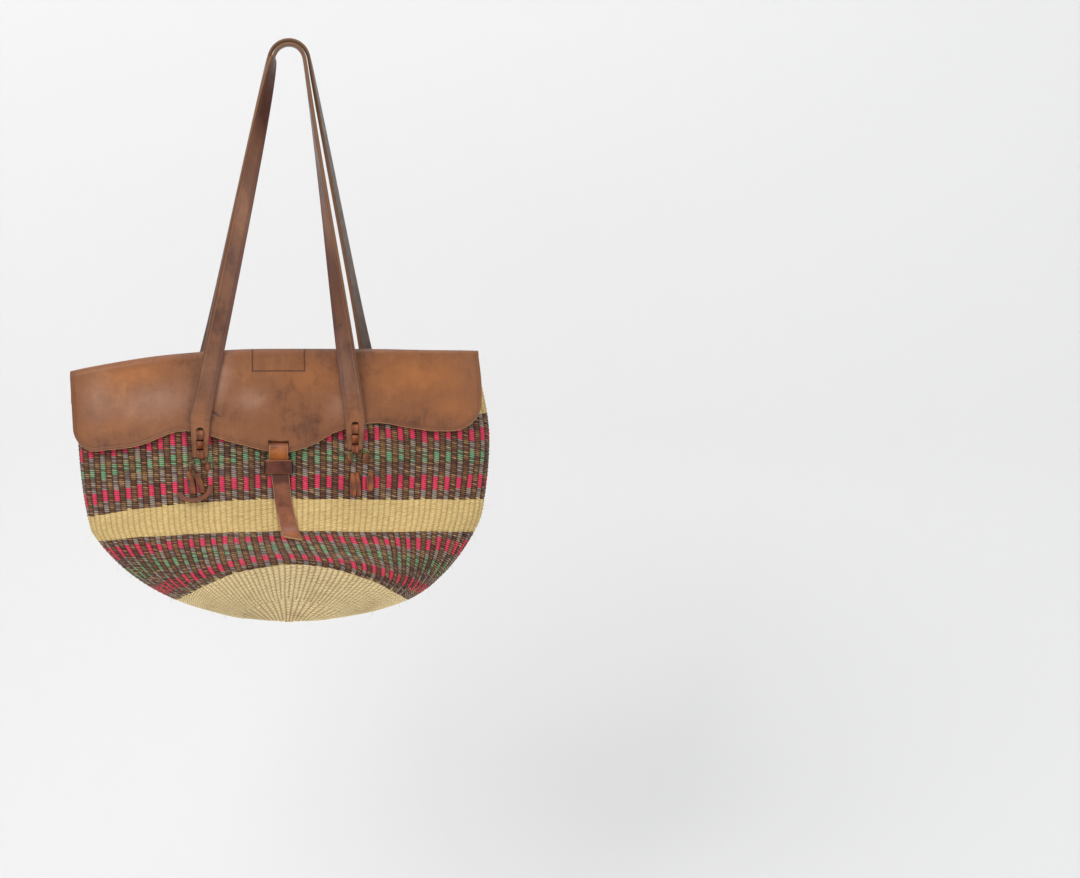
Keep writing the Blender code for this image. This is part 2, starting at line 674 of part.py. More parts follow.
def loop_holes(foot_x, end_z):
    top = end_z - LOOP_TOP_BELOW_END
    return [(foot_x - LOOP_LEFT, top - THONG_WIDTH), (foot_x + LOOP_RIGHT, top)]


def lace_loop(name, foot_x, end_z):
    """A slack loop of thong below the front left strap end, both its ends tucked into the weave."""
    (left_x, left_z), (right_x, right_z) = loop_holes(foot_x, end_z)
    floor = GAP + THONG_THICK / 2
    over_tails = 2 * (THONG_THICK + GAP)
    turns = np.linspace(math.pi, 2 * math.pi, LOOP_STEPS + 1)
    middle, radius = (left_x + right_x) / 2, (right_x - left_x) / 2
    shares = (turns - math.pi) / math.pi
    xs = middle + radius * np.cos(turns)
    zs = left_z + (right_z - left_z) * shares + LOOP_DEPTH * np.sin(turns)
    outer = [(x, floor - over_tails * math.sin(t), z) for x, z, t in zip(xs, zs, turns)]
    tuck = [(0, -WALL - GAP), (0, -WALL / 2), (0, 0)]
    local = [(left_x, depth, left_z) for _, depth in tuck] + outer
    local += [(right_x, depth, right_z) for _, depth in reversed(tuck)]
    path = np.array([(x, -weave_depth(x, z, False) - depth, z) for x, depth, z in local])
    flat = np.concatenate([[turns[0]] * len(tuck), turns, [turns[-1]] * len(tuck)])
    across = np.stack([np.cos(flat), np.zeros_like(flat), np.sin(flat)], axis=1)
    return ribbon(name, path, across, THONG_WIDTH, THONG_THICK, "thong")


def loop_boxes(foot_x, end_z):
    half = THONG_WIDTH / 2 + GAP
    boxes = []
    for x, z in loop_holes(foot_x, end_z):
        face = -weave_depth(x, z, False)
        thick = THONG_THICK / 2 + 2 * GAP
        boxes.append(((x - half, face - OVERRUN, z - thick), (x + half, face + WALL + OVERRUN, z + thick)))
    return boxes


def build():
    clear_scene()
    body = woven_body()
    rim_braid()
    flap_back_leaf()
    flap_crown()
    flap_apron()
    closure_tongue()
    tongue_keeper()
    strap("front_strap", FRONT_FEET_X, FRONT_TWIST_POWERS, False)
    strap("rear_strap", REAR_FEET_X, REAR_TWIST_POWERS, True)
    boxes = keeper_holes() + loop_boxes(FRONT_FEET_X[0], FRONT_END_Z[0])
    for face, feet_x, ends_z in (("front", FRONT_FEET_X, FRONT_END_Z), ("rear", REAR_FEET_X, REAR_END_Z)):
        rear = face == "rear"
        for side, foot_x, end_z in zip(("left", "right"), feet_x, ends_z):
            end = strap_end(f"{face}_{side}_strap_end", foot_x, end_z, rear)
            own = hole_boxes(lace_holes(foot_x, end_z), rear)
            cut(end, box_cutter(f"{face}_{side}_end_cutter", own[:3]))
            boxes += own
            lace(f"{face}_{side}_lace", foot_x, end_z, rear)
    lace_loop("front_left_lace_loop", FRONT_FEET_X[0], FRONT_END_Z[0])
    cut(body, box_cutter("weave_holes_cutter", boxes))


build()
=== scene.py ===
"""Kiondo basket, dressed: twined sisal, a leather flap, two straps, a tongue in its keeper, and thongs.

Lengths are in metres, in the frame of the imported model: the origin is where the front strap bears on its
hook, +Z is up, +X is to the right of someone who faces the front, and -Y is towards them.
"""
import math

import bpy
import numpy as np
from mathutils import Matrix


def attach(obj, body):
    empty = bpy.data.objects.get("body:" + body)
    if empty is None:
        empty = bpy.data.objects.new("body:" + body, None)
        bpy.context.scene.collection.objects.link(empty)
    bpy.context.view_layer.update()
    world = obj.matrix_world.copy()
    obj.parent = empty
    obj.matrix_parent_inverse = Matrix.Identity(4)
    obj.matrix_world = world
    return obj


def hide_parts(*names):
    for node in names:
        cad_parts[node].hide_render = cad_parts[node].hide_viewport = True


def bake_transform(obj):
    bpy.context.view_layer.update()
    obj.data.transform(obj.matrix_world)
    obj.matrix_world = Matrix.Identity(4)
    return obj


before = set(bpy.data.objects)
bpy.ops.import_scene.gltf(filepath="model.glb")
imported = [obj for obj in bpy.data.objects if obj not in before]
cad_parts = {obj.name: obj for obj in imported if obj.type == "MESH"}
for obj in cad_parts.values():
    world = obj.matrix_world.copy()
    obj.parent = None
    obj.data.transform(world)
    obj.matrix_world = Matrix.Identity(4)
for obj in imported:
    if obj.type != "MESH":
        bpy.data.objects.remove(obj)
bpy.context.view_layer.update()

# Weave, as in the solids
GAP = 0.0004
BODY_HALF_WIDTH = 0.206
BODY_DROP = 0.264
MOUTH_EDGE_Z = -0.315
BELLY_FRONT = 0.095
BELLY_BACK = 0.084
WALL = 0.004
# Each row: half width, shift, front, back, middle drop, left drop, right drop, roundness
RING_SHARES = np.array((
    (0.976, -0.063, 0.263, 0.298, 0.000, 0.091, 0.006, 0.70),
    (1.000, -0.022, 0.316, 0.381, 0.265, 0.345, 0.268, 0.70),
    (0.966, -0.012, 0.350, 0.452, 0.527, 0.598, 0.530, 0.70),
    (0.917, -0.012, 0.430, 0.548, 0.648, 0.689, 0.652, 0.75),
    (0.767, 0.000, 0.715, 0.762, 0.708, 0.814, 0.803, 0.88),
    (0.570, 0.019, 1.000, 1.000, 0.768, 0.913, 0.913, 1.00),
    (0.290, 0.010, 0.540, 0.540, 0.892, 0.977, 0.977, 1.00),
    (0.000, 0.000, 0.000, 0.000, 1.000, 1.000, 1.000, 1.00),
))
RING_SCALES = (BODY_HALF_WIDTH, BODY_HALF_WIDTH, BELLY_FRONT, BELLY_BACK, BODY_DROP, BODY_DROP, BODY_DROP, 1)
LAST_OUTER_RING = 5
SAMPLES = 240
BRAID_RADIUS = 0.0035

# Twining: ribs around the basket, and rows of stitches from the mouth to the centre of the base
RIBS = 144
ROW_MARKS = (0, 73, 90, 130, 190)
RING_MARKS = (0, 2, 3, 5, 7)
# Rows from which two ribs run as one, so that they don't grow too thin towards the centre
RIB_JOINS = (154, 172)
DISC_CENTRE_SHARE = 0.4
RIB_DEPTH = 0.0014
STITCH_DEPTH = 0.0009

# Flap
HIDE = 0.0025
FLAP_LEFT_X = -0.2185
FLAP_RIGHT_X = 0.190
FLAP_END_MARGIN = 0.012
APRON_DROP = 0.104
APRON_CORNER = 0.026
BACK_LEAF_DROP = 0.042
BACK_LEAF_CORNER = 0.014
SCALLOP_PLACE_SHARES = (0.0, 0.083, 0.166, 0.278, 0.397, 0.51, 0.583, 0.65, 0.745, 0.835, 0.90, 1.0)
SCALLOP_DROP_SHARES = (0.80, 0.83, 0.84, 0.75, 0.894, 1.0, 0.942, 0.80, 0.712, 0.76, 0.785, 0.77)

# Tongue and keeper
TONGUE_THICK = 0.0024
TONGUE_WIDTH = 0.019
TONGUE_X = -0.0105
SLOT_HEIGHT = 0.0054
SLOT_ABOVE_EDGE = 0.0085
SLOT_SIDE_GAP = 0.0006
KEEPER_THICK = 0.002
KEEPER_HEIGHT = 0.014
KEEPER_HALF_SPAN = 0.0135
KEEPER_TOP_BELOW_EDGE = 0.0075
KEEPER_BOW = 0.0014
KEEPER_TAB = 0.008
KEEPER_SAG = 0.0006
TONGUE_ROOM = TONGUE_THICK + 3 * GAP
BRAID_ROOM = BRAID_RADIUS - WALL / 2 + GAP
FLAP_FOLD_RADIUS = BRAID_RADIUS + GAP + HIDE / 2
TONGUE_FALL = 0.094
TONGUE_DRIFT = 0.017
TONGUE_BELOW_SHARES = (0.095, 0.135, 0.175, 0.235, 0.40, 0.58, 0.72, 0.84, 0.93, 1.0)
TONGUE_DRIFT_SHARES = (0.0, 0.0, 0.0, 0.03, 0.15, 0.26, 0.40, 0.56, 0.71, 0.85)
TONGUE_STAND_SHARES = (3.1, 1.9, 0.98, 0.72, 0.75, 0.9, 1.1, 1.3, 1.6, 2.0)
TONGUE_WIDTH_SHARES = (1.0, 1.0, 0.98, 0.95, 0.93, 0.92, 0.92, 0.92, 0.94, 0.96)

# Straps
STRAP_WIDTH = 0.0205
STRAP_THICK = 0.0034
STRAP_STACK_GAP = 0.0012
STRAP_STACK_SHIFT = 0.0045
HOOK_ARCH_RADIUS = 0.014
FLEX_Z = -0.376
STRAP_END_TAPER_SHARE = 0.74
FRONT_FEET_X = (-0.0885, 0.066)
REAR_FEET_X = (-0.0975, 0.0915)
STRAP_ENDS_Z = (-0.4138, -0.4064)
FRONT_TWIST_POWERS = (0.42, 1.75)
REAR_TWIST_POWERS = (8.0, 8.0)
# What share of the rear straps' quarter turn they make early, on the way down from the hook
EARLY_TURN_SHARE = 0.28

# Thongs, on the left and the right strap end: heights of the holes down the strap; then from its middle the
# stitch on either side (x, low, high) and the tails (x and height of the hole, x and height of the tip)
THONG_WIDTH = 0.0068
THONG_THICK = 0.0015
HOLES_Z = ((-0.3864, -0.3964, -0.4052, -0.4146), (-0.3806, -0.3904, -0.4002, -0.4092))
SIDE_STITCHES = (((-0.0076, -0.4258, -0.4192), (0.0078, -0.4256, -0.4190)),
                 ((-0.0052, -0.4188, -0.4124), (0.0108, -0.4184, -0.4096)))
TAILS = (((-0.0112, -0.4272, -0.0072, -0.4502), (-0.0030, -0.4284, 0.0018, -0.4490)),
         ((-0.0022, -0.4290, -0.0020, -0.4527), (0.0152, -0.4290, 0.0150, -0.4472)))
HOLE_HEIGHT = 0.0042
LOOP_LEFT = 0.0200
LOOP_RIGHT = 0.0105
LOOP_TOP_Z = -0.4418
LOOP_DEPTH = 0.0105
LOOP_LEAN = 0.9


# Curves and the weave's form

def smooth_curve(knots, places):
    """A Catmull-Rom curve through the rows of `knots`, read at places counted in rows."""
    knots = np.asarray(knots, dtype=float)
    places = np.atleast_1d(places)
    padded = np.vstack([2 * knots[0] - knots[1], knots, 2 * knots[-1] - knots[-2]])
    start = np.clip(np.floor(places).astype(int), 0, len(knots) - 2)
    t = (places - start)[:, None]
    a, b, c, d = (padded[start + step] for step in range(4))
    return 0.5 * (2 * b + (c - a) * t + (2 * a - 5 * b + 4 * c - d) * t**2 + (3 * b - a - 3 * c + d) * t**3)


def unit(vectors):
    return vectors / np.maximum(np.linalg.norm(vectors, axis=-1, keepdims=True), 1e-12)


def ripple(first, second, waves, phase_seed):
    """A gentle unevenness: the mean of a few sine waves over two coordinates, between -1 and 1."""
    phases = np.random.default_rng(phase_seed).uniform(0, 2 * math.pi, len(waves))
    return sum(np.sin(first * one + second * two + phase)
               for (one, two), phase in zip(waves, phases)) / len(waves)


def ring_points(values, angles):
    """Points of rings: x is shift plus half width times cosine; y is the front or back depth times sine to a
    power; z drops by the end's drop, and by the middle's as sine squared grows."""
    half, shift, front, back, middle, left, right, roundness = values.T[..., None]
    cosine, sine = np.cos(angles), np.sin(angles)
    depth = np.where(sine >= 0, back, front) * np.sign(sine) * np.abs(sine) ** roundness
    side = np.where(cosine < 0, left, right)
    drop = side + (middle - side) * sine**2
    return np.stack([shift + half * cosine, depth, MOUTH_EDGE_Z - drop], axis=-1)


def weave_rings(places, columns, bunch=0.0):
    """Rings of the weave's outer face. The points around each start at its right end, at equal lengths, or
    closer towards both ends and wider between them by a share."""
    values = smooth_curve(RING_SHARES * RING_SCALES, places)
    angles = np.linspace(0, 2 * math.pi, 3 * SAMPLES + 1)
    dense = ring_points(values, np.tile(angles, (len(values), 1)))
    lengths = [lengths_along(ring) for ring in dense]
    even = np.arange(columns) / columns
    shares = even - np.broadcast_to(bunch, len(values))[:, None] * np.sin(4 * math.pi * even) / (4 * math.pi)
    found = np.array([np.interp(share * length[-1], length, angles)
                      for share, length in zip(shares, lengths)])
    return ring_points(values, found)


def row_places(rows):
    """Ring places of twining rows: between two marks, equal rows take equal mean lengths of the profile."""
    fine = np.linspace(0, RING_MARKS[-1], 560)
    rings = weave_rings(np.minimum(fine, RING_MARKS[-1] - 1e-6), 48)
    length = np.concatenate([[0], np.cumsum(np.linalg.norm(np.diff(rings, axis=0), axis=2).mean(axis=1))])
    mark_lengths = np.interp(RING_MARKS, fine, length)
    return np.interp(np.interp(rows, ROW_MARKS, mark_lengths), length, fine)


OUTER = smooth_curve(RING_SHARES * RING_SCALES, np.linspace(0, LAST_OUTER_RING, SAMPLES)).T


def weave_depth(x, z, rear, stand_off=0.0, end_margin=0.0):
    """How far a face lies from the mid plane at x and z, when it stands off the weave's outer face."""
    x, z, stand_off = np.broadcast_arrays(np.asarray(x, float), z, stand_off)
    half, shift, front, back, middle, left, right, roundness = OUTER
    over = np.maximum(stand_off, end_margin)[..., None]
    cosine = np.clip((x[..., None] - shift) / (half + over), -1, 1)
    sine = np.sqrt(1 - cosine**2)
    depth = ((back if rear else front) + stand_off[..., None]) * sine**roundness
    side = np.where((x < shift[0])[..., None], left, right)
    drop = side + (middle - side) * sine**2
    target = (MOUTH_EDGE_Z - z)[..., None]
    low = np.clip((drop < target).sum(axis=-1) - 1, 0, SAMPLES - 2)[..., None]
    drop_low, drop_high = np.take_along_axis(drop, low, -1), np.take_along_axis(drop, low + 1, -1)
    deep_low, deep_high = np.take_along_axis(depth, low, -1), np.take_along_axis(depth, low + 1, -1)
    share = np.clip((target - drop_low) / np.maximum(drop_high - drop_low, 1e-9), 0, 1)
    return (deep_low + (deep_high - deep_low) * share)[..., 0]


def off_weave(x, z, depth, rear):
    """Points that lie a depth off the weave's outer face at x and z."""
    return np.stack([x, (weave_depth(x, z, rear) + depth) * (1 if rear else -1), z], axis=-1)


def weave_across(x, z, rear):
    """The direction along the weave at x and z, level and towards +X."""
    reach = THONG_WIDTH / 2
    rise = weave_depth(x + reach, z, rear) - weave_depth(x - reach, z, rear)
    return np.stack([np.full_like(rise, 2 * reach), rise if rear else -rise, np.zeros_like(rise)], axis=-1)


def mouth_z(x, end_margin=FLAP_END_MARGIN):
    """Height of the weave's top edge at x."""
    half, shift, _, _, middle, left, right, _ = RING_SHARES[0] * RING_SCALES
    cosine = np.clip((x - shift) / (half + end_margin), -1, 1)
    side = np.where(cosine < 0, left, right)
    return MOUTH_EDGE_Z - (side + (middle - side) * (1 - cosine**2))


def circle(count):
    """Equal turns round a circle, from 0."""
    return np.arange(count) / count * 2 * math.pi


def lengths_along(points):
    return np.concatenate([[0], np.cumsum(np.linalg.norm(np.diff(points, axis=0), axis=1))])


def grid_normals(grid, wraps=False):
    """Unit normals of a grid of points, from its neighbours' differences."""
    down = np.gradient(grid, axis=0)
    across = (np.roll(grid, -1, axis=1) - np.roll(grid, 1, axis=1)) if wraps else np.gradient(grid, axis=1)
    return unit(np.cross(across, down))


def outward_normals(rings):
    normals = grid_normals(rings, True)
    return normals * np.sign((normals * (rings - rings.mean(axis=(0, 1)))).sum())


# Meshes

def lay_mesh(name, points, corners, table_uv, finish, body, values):
    """A mesh from points and faces: `corners` is a list of (faces x n) arrays of places in a table of
    (point number, uv), which lets a seam keep its own uv."""
    numbers, uv = table_uv
    mesh = bpy.data.meshes.new(name)
    flat = np.concatenate([part.ravel() for part in corners])
    sizes = np.concatenate([np.full(len(part), part.shape[1]) for part in corners])
    mesh.vertices.add(len(points))
    mesh.vertices.foreach_set("co", np.ascontiguousarray(points, dtype=np.float32).ravel())
    mesh.loops.add(len(flat))
    mesh.loops.foreach_set("vertex_index", numbers[flat].astype(np.int32))
    mesh.polygons.add(len(sizes))
    starts = np.concatenate([[0], np.cumsum(sizes)[:-1]])
    mesh.polygons.foreach_set("loop_start", starts.astype(np.int32))
    mesh.polygons.foreach_set("use_smooth", np.ones(len(sizes), dtype=bool))
    layer = mesh.uv_layers.new(name="UVMap")
    layer.data.foreach_set("uv", uv[flat].astype(np.float32).ravel())
    for key, value in values.items():
        made = mesh.attributes.new(key, "FLOAT", "POINT")
        made.data.foreach_set("value", np.asarray(value, dtype=np.float32).ravel())
    mesh.update(calc_edges=True)
    mesh.materials.append(finish)
    piece = bpy.data.objects.new(name, mesh)
    bpy.context.scene.collection.objects.link(piece)
    if body:
        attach(piece, body)
    return piece


def facing(points, numbers, quads, outward):
    """True where the quads' normals agree with the outward directions, by their sum."""
    a, b, c, d = (points[numbers[quads[:, corner]]] for corner in range(4))
    return (np.cross(c - a, d - b) * outward[numbers[quads[:, 0]]]).sum() > 0


def shell(name, outer, inner, uv, finish, body, wraps=False, kept=None, capped=False, **values):
    """A closed shell between two grids: both faces where a cell is kept, and a wall along each edge of the
    kept cells. A wrapped grid meets itself, and its uv table has one more column."""
    rows, columns = outer.shape[:2]
    width = columns + 1 if wraps else columns
    kept = np.ones((rows - 1, width - 1), dtype=bool) if kept is None else kept
    place = np.arange(rows * width).reshape(rows, width)
    numbers = np.arange(rows * columns).reshape(rows, columns)
    if wraps:
        numbers = np.hstack([numbers, numbers[:, :1]])
    count, table = rows * columns, rows * width
    a, b, c, d = place[:-1, :-1], place[:-1, 1:], place[1:, 1:], place[1:, :-1]
    above = np.vstack([np.zeros((1, width - 1), bool), kept[:-1]])
    below = np.vstack([kept[1:], np.zeros((1, width - 1), bool)])
    if wraps:
        left, right = np.roll(kept, 1, axis=1), np.roll(kept, -1, axis=1)
    else:
        left = np.hstack([np.zeros((rows - 1, 1), bool), kept[:, :-1]])
        right = np.hstack([kept[:, 1:], np.zeros((rows - 1, 1), bool)])
    if capped:
        below[-1] = True
    quads = [np.stack([a[kept], b[kept], c[kept], d[kept]], axis=1),
             np.stack([a[kept], d[kept], c[kept], b[kept]], axis=1) + table]
    for open_side, first, second in ((~above, b, a), (~below, d, c), (~left, a, d), (~right, c, b)):
        rim = kept & open_side
        quads.append(np.stack([first[rim], second[rim], second[rim] + table, first[rim] + table], axis=1))
    if capped:
        quads += [place[-1:, :columns][:, ::-1], place[-1:, :columns] + table]
    points = np.concatenate([outer.reshape(-1, 3), inner.reshape(-1, 3)])
    numbers = np.concatenate([numbers.ravel(), numbers.ravel() + count])
    uv = np.concatenate([uv.reshape(-1, 2)] * 2)
    outward = np.concatenate([(outer - inner).reshape(-1, 3)] * 2)
    if not facing(points, numbers, quads[0], outward):
        quads = [part[:, ::-1] for part in quads]
    values = {key: np.concatenate([value.ravel(), value.ravel()]) for key, value in values.items()}
    return lay_mesh(name, points, quads, (numbers, uv), finish, body, values)


def tube(name, grid, uv, finish, body, closed=False, **values):
    """A skin round a path: each row of the grid is one section. Its ends are capped, or meet if closed."""
    rows, columns = grid.shape[:2]
    place = np.arange((rows + closed) * (columns + 1)).reshape(rows + closed, columns + 1)
    numbers = np.arange(rows * columns).reshape(rows, columns)
    numbers = np.hstack([numbers, numbers[:, :1]])
    if closed:
        numbers = np.vstack([numbers, numbers[:1]])
    a, b, c, d = place[:-1, :-1], place[:-1, 1:], place[1:, 1:], place[1:, :-1]
    quads = [np.stack([a, b, c, d], axis=-1).reshape(-1, 4)]
    if not closed:
        quads += [place[:1, :columns][:, ::-1], place[-1:, :columns]]
    outward = (grid - grid.mean(axis=1, keepdims=True)).reshape(-1, 3)
    points, numbers = grid.reshape(-1, 3), numbers.ravel()
    if not facing(points, numbers, quads[0], outward):
        quads = [part[:, ::-1] for part in quads]
    values = {key: value.ravel() for key, value in values.items()}
    return lay_mesh(name, points, quads, (numbers, uv.reshape(-1, 2)), finish, body, values)


def resample(points, values, step, fine_ends=0.0, fine_step=None):
    """The points of a dense path and the values that go with them, `step` apart along it and closer within
    `fine_ends` of its ends."""
    length = lengths_along(points)
    total = length[-1]
    if fine_step is None:
        targets = np.linspace(0, total, max(4, int(total / step)) + 1)
    else:
        near = np.linspace(0, fine_ends, int(fine_ends / fine_step) + 1)
        middle = np.linspace(fine_ends, total - fine_ends, int((total - 2 * fine_ends) / step) + 1)[1:-1]
        targets = np.concatenate([near, middle, total - near[::-1]])
    rows = np.arange(len(points))
    places = np.interp(targets, length, rows)
    return [np.stack([np.interp(places, rows, column) for column in np.atleast_2d(table.T)], axis=1)
            for table in (points, values)]


# Finishes

class Value:
    """What a node gives. Sums, products and comparisons with it are nodes as well."""

    def __init__(self, finish, socket):
        self.finish, self.socket = finish, socket

    def __add__(self, other):
        return self.finish.math("ADD", self, other)

    def __sub__(self, other):
        return self.finish.math("SUBTRACT", self, other)

    def __rsub__(self, other):
        return self.finish.math("SUBTRACT", other, self)

    def __mul__(self, other):
        return self.finish.math("MULTIPLY", self, other)

    def __truediv__(self, other):
        return self.finish.math("DIVIDE", self, other)

    def __mod__(self, other):
        return self.finish.math("MODULO", self, other)

    def __gt__(self, other):
        return self.finish.math("GREATER_THAN", self, other)

    def __lt__(self, other):
        return self.finish.math("LESS_THAN", self, other)

    def __abs__(self):
        return self.finish.math("ABSOLUTE", self)

    __radd__, __rmul__ = __add__, __mul__


class Finish:
    """One node material, built a step at a time."""

    def __init__(self, name):
        self.material = bpy.data.materials.new(name)
        self.material.use_nodes = True
        self.tree = self.material.node_tree
        self.shader = self.tree.nodes["Principled BSDF"]

    def feed(self, sockets, inputs):
        for key, value in inputs.items():
            if isinstance(value, Value):
                self.tree.links.new(value.socket, sockets[key])
            else:
                sockets[key].default_value = value

    def node(self, kind, inputs=(), output=0, **settings):
        """Adds a node with these settings and inputs, by place or by name, and gives its output."""
        made = self.tree.nodes.new(kind)
        for key, value in settings.items():
            setattr(made, key, value)
        self.feed(made.inputs, inputs if isinstance(inputs, dict) else dict(enumerate(inputs)))
        return Value(self, made.outputs[output])

    def math(self, operation, *values, clamp=False):
        return self.node("ShaderNodeMath", values, operation=operation, use_clamp=clamp)

    def most(self, first, second):
        return self.math("MAXIMUM", first, second)

    def band(self, value, low, high, to_low=0.0, to_high=1.0, smooth=True):
        """A ramp from to_low to to_high as the value goes from low to high, held at both ends."""
        return self.node("ShaderNodeMapRange", (value, low, high, to_low, to_high),
                         interpolation_type="SMOOTHSTEP" if smooth else "LINEAR")

    def mix(self, share, first, second):
        """A colour that goes from the first to the second as the share goes from 0 to 1."""
        first, second = (value if isinstance(value, Value) else (*value, 1) for value in (first, second))
        return self.node("ShaderNodeMix", {0: share, 6: first, 7: second}, 2, data_type="RGBA")

    def ramp(self, value, stops, constant=False):
        made = self.node("ShaderNodeValToRGB", (value,))
        ramp = made.socket.node.color_ramp
        ramp.interpolation = "CONSTANT" if constant else "EASE"
        while len(ramp.elements) < len(stops):
            ramp.elements.new(1.0)
        for element, (position, colour) in zip(ramp.elements, stops):
            element.position, element.color = position, (*colour, 1)
        return made

    def noise(self, vector, scale, detail=3.0, roughness=0.55, distortion=0.0):
        return self.node("ShaderNodeTexNoise", {"Vector": vector, "Scale": scale, "Detail": detail,
                                                "Roughness": roughness, "Distortion": distortion})

    def cells(self, vector, scale):
        return self.node("ShaderNodeTexVoronoi", {"Vector": vector, "Scale": scale}, "Distance")

    def chance(self, x, y, z):
        """A random number from 0 to 1 for each whole x, y and z."""
        return self.node("ShaderNodeTexWhiteNoise", {"Vector": self.join(x, y, z)}, noise_dimensions="3D")

    def join(self, x, y, z):
        return self.node("ShaderNodeCombineXYZ", (x, y, z))

    def split(self, vector):
        parts = self.node("ShaderNodeSeparateXYZ", (vector,)).socket.node.outputs
        return [Value(self, part) for part in parts]

    def stretch(self, vector, scale):
        return self.node("ShaderNodeMapping", {"Vector": vector, "Scale": scale})

    def place(self):
        return self.node("ShaderNodeTexCoord", output="Object")

    def uv(self):
        return self.node("ShaderNodeUVMap", uv_map="UVMap")

    def value_of(self, name):
        return self.node("ShaderNodeAttribute", output="Fac", attribute_name=name)

    def bump(self, height, strength, distance, below=None):
        under = {} if below is None else {"Normal": below}
        return self.node("ShaderNodeBump",
                         {"Strength": strength, "Distance": distance, "Height": height, **under})

    def done(self, colour, roughness, normal=None, specular=0.5, sheen=0.0):
        under = {} if normal is None else {"Normal": normal}
        self.feed(self.shader.inputs, {"Base Color": colour, "Roughness": roughness,
                                       "Specular IOR Level": specular, "Sheen Weight": sheen, **under})
        return self.material


def rgb(red, green, blue):
    """A colour from its usual 0 to 255 values."""
    return tuple(((c / 255 + 0.055) / 1.055) ** 2.4 if c > 10 else c / 255 / 12.92
                 for c in (red, green, blue))


NATURAL = rgb(219, 191, 128)
GREY = rgb(164, 148, 138)
BEIGE = rgb(176, 160, 128)
PINK = rgb(234, 62, 96)
GREEN = rgb(130, 180, 132)
BROWN_STOPS = ((0.22, rgb(66, 34, 26)), (0.40, rgb(108, 68, 46)), (0.58, rgb(142, 100, 62)),
               (0.78, rgb(196, 158, 106)))
STRAW_STOPS = ((0.25, rgb(196, 162, 98)), (0.5, NATURAL), (0.75, rgb(238, 216, 158)))
BASE_STRAW = rgb(250, 230, 180)
FADED = rgb(190, 168, 130)
STRAY = rgb(96, 66, 58)
DIRT = rgb(158, 120, 90)
DEEP_SHADOW = rgb(40, 20, 18)
STRAW_SHADOW = rgb(156, 118, 68)

# Twining rows at which each colour of the coloured ribs starts; the ribs between them are brown
RIB_BANDS = ((0, NATURAL), (28, GREY), (36, PINK), (42.5, GREY), (46.5, BEIGE), (48, GREEN), (54, BEIGE),
             (55.5, GREY), (61, PINK), (68, GREY), (73, NATURAL), (90, GREY), (95, PINK), (101, GREY),
             (106, GREEN), (113, GREY), (119.5, PINK), (126, GREY), (130, NATURAL))
NATURAL_ROWS = ((0, 1), (28, 0), (73, 1), (90, 0), (130, 1))
COLOUR_SLANT = -0.75
NATURAL_SLANT = 0.65

# How much closer the ribs stand at the ends of the basket than at its middle, from row to row
BUNCH_ROWS = (90, 130, 158, 188)
BUNCH_SHARES = (0.0, 0.36, 0.30, 0.0)


def by_rows(stops):
    return [(row / ROW_MARKS[-1], colour) for row, colour in stops]


def natural_rows(rows):
    """1 on rows of natural sisal and 0 on the coloured ones."""
    starts, kinds = np.array(NATURAL_ROWS).T
    return kinds[np.clip(np.searchsorted(starts, rows, side="right") - 1, 0, None)]


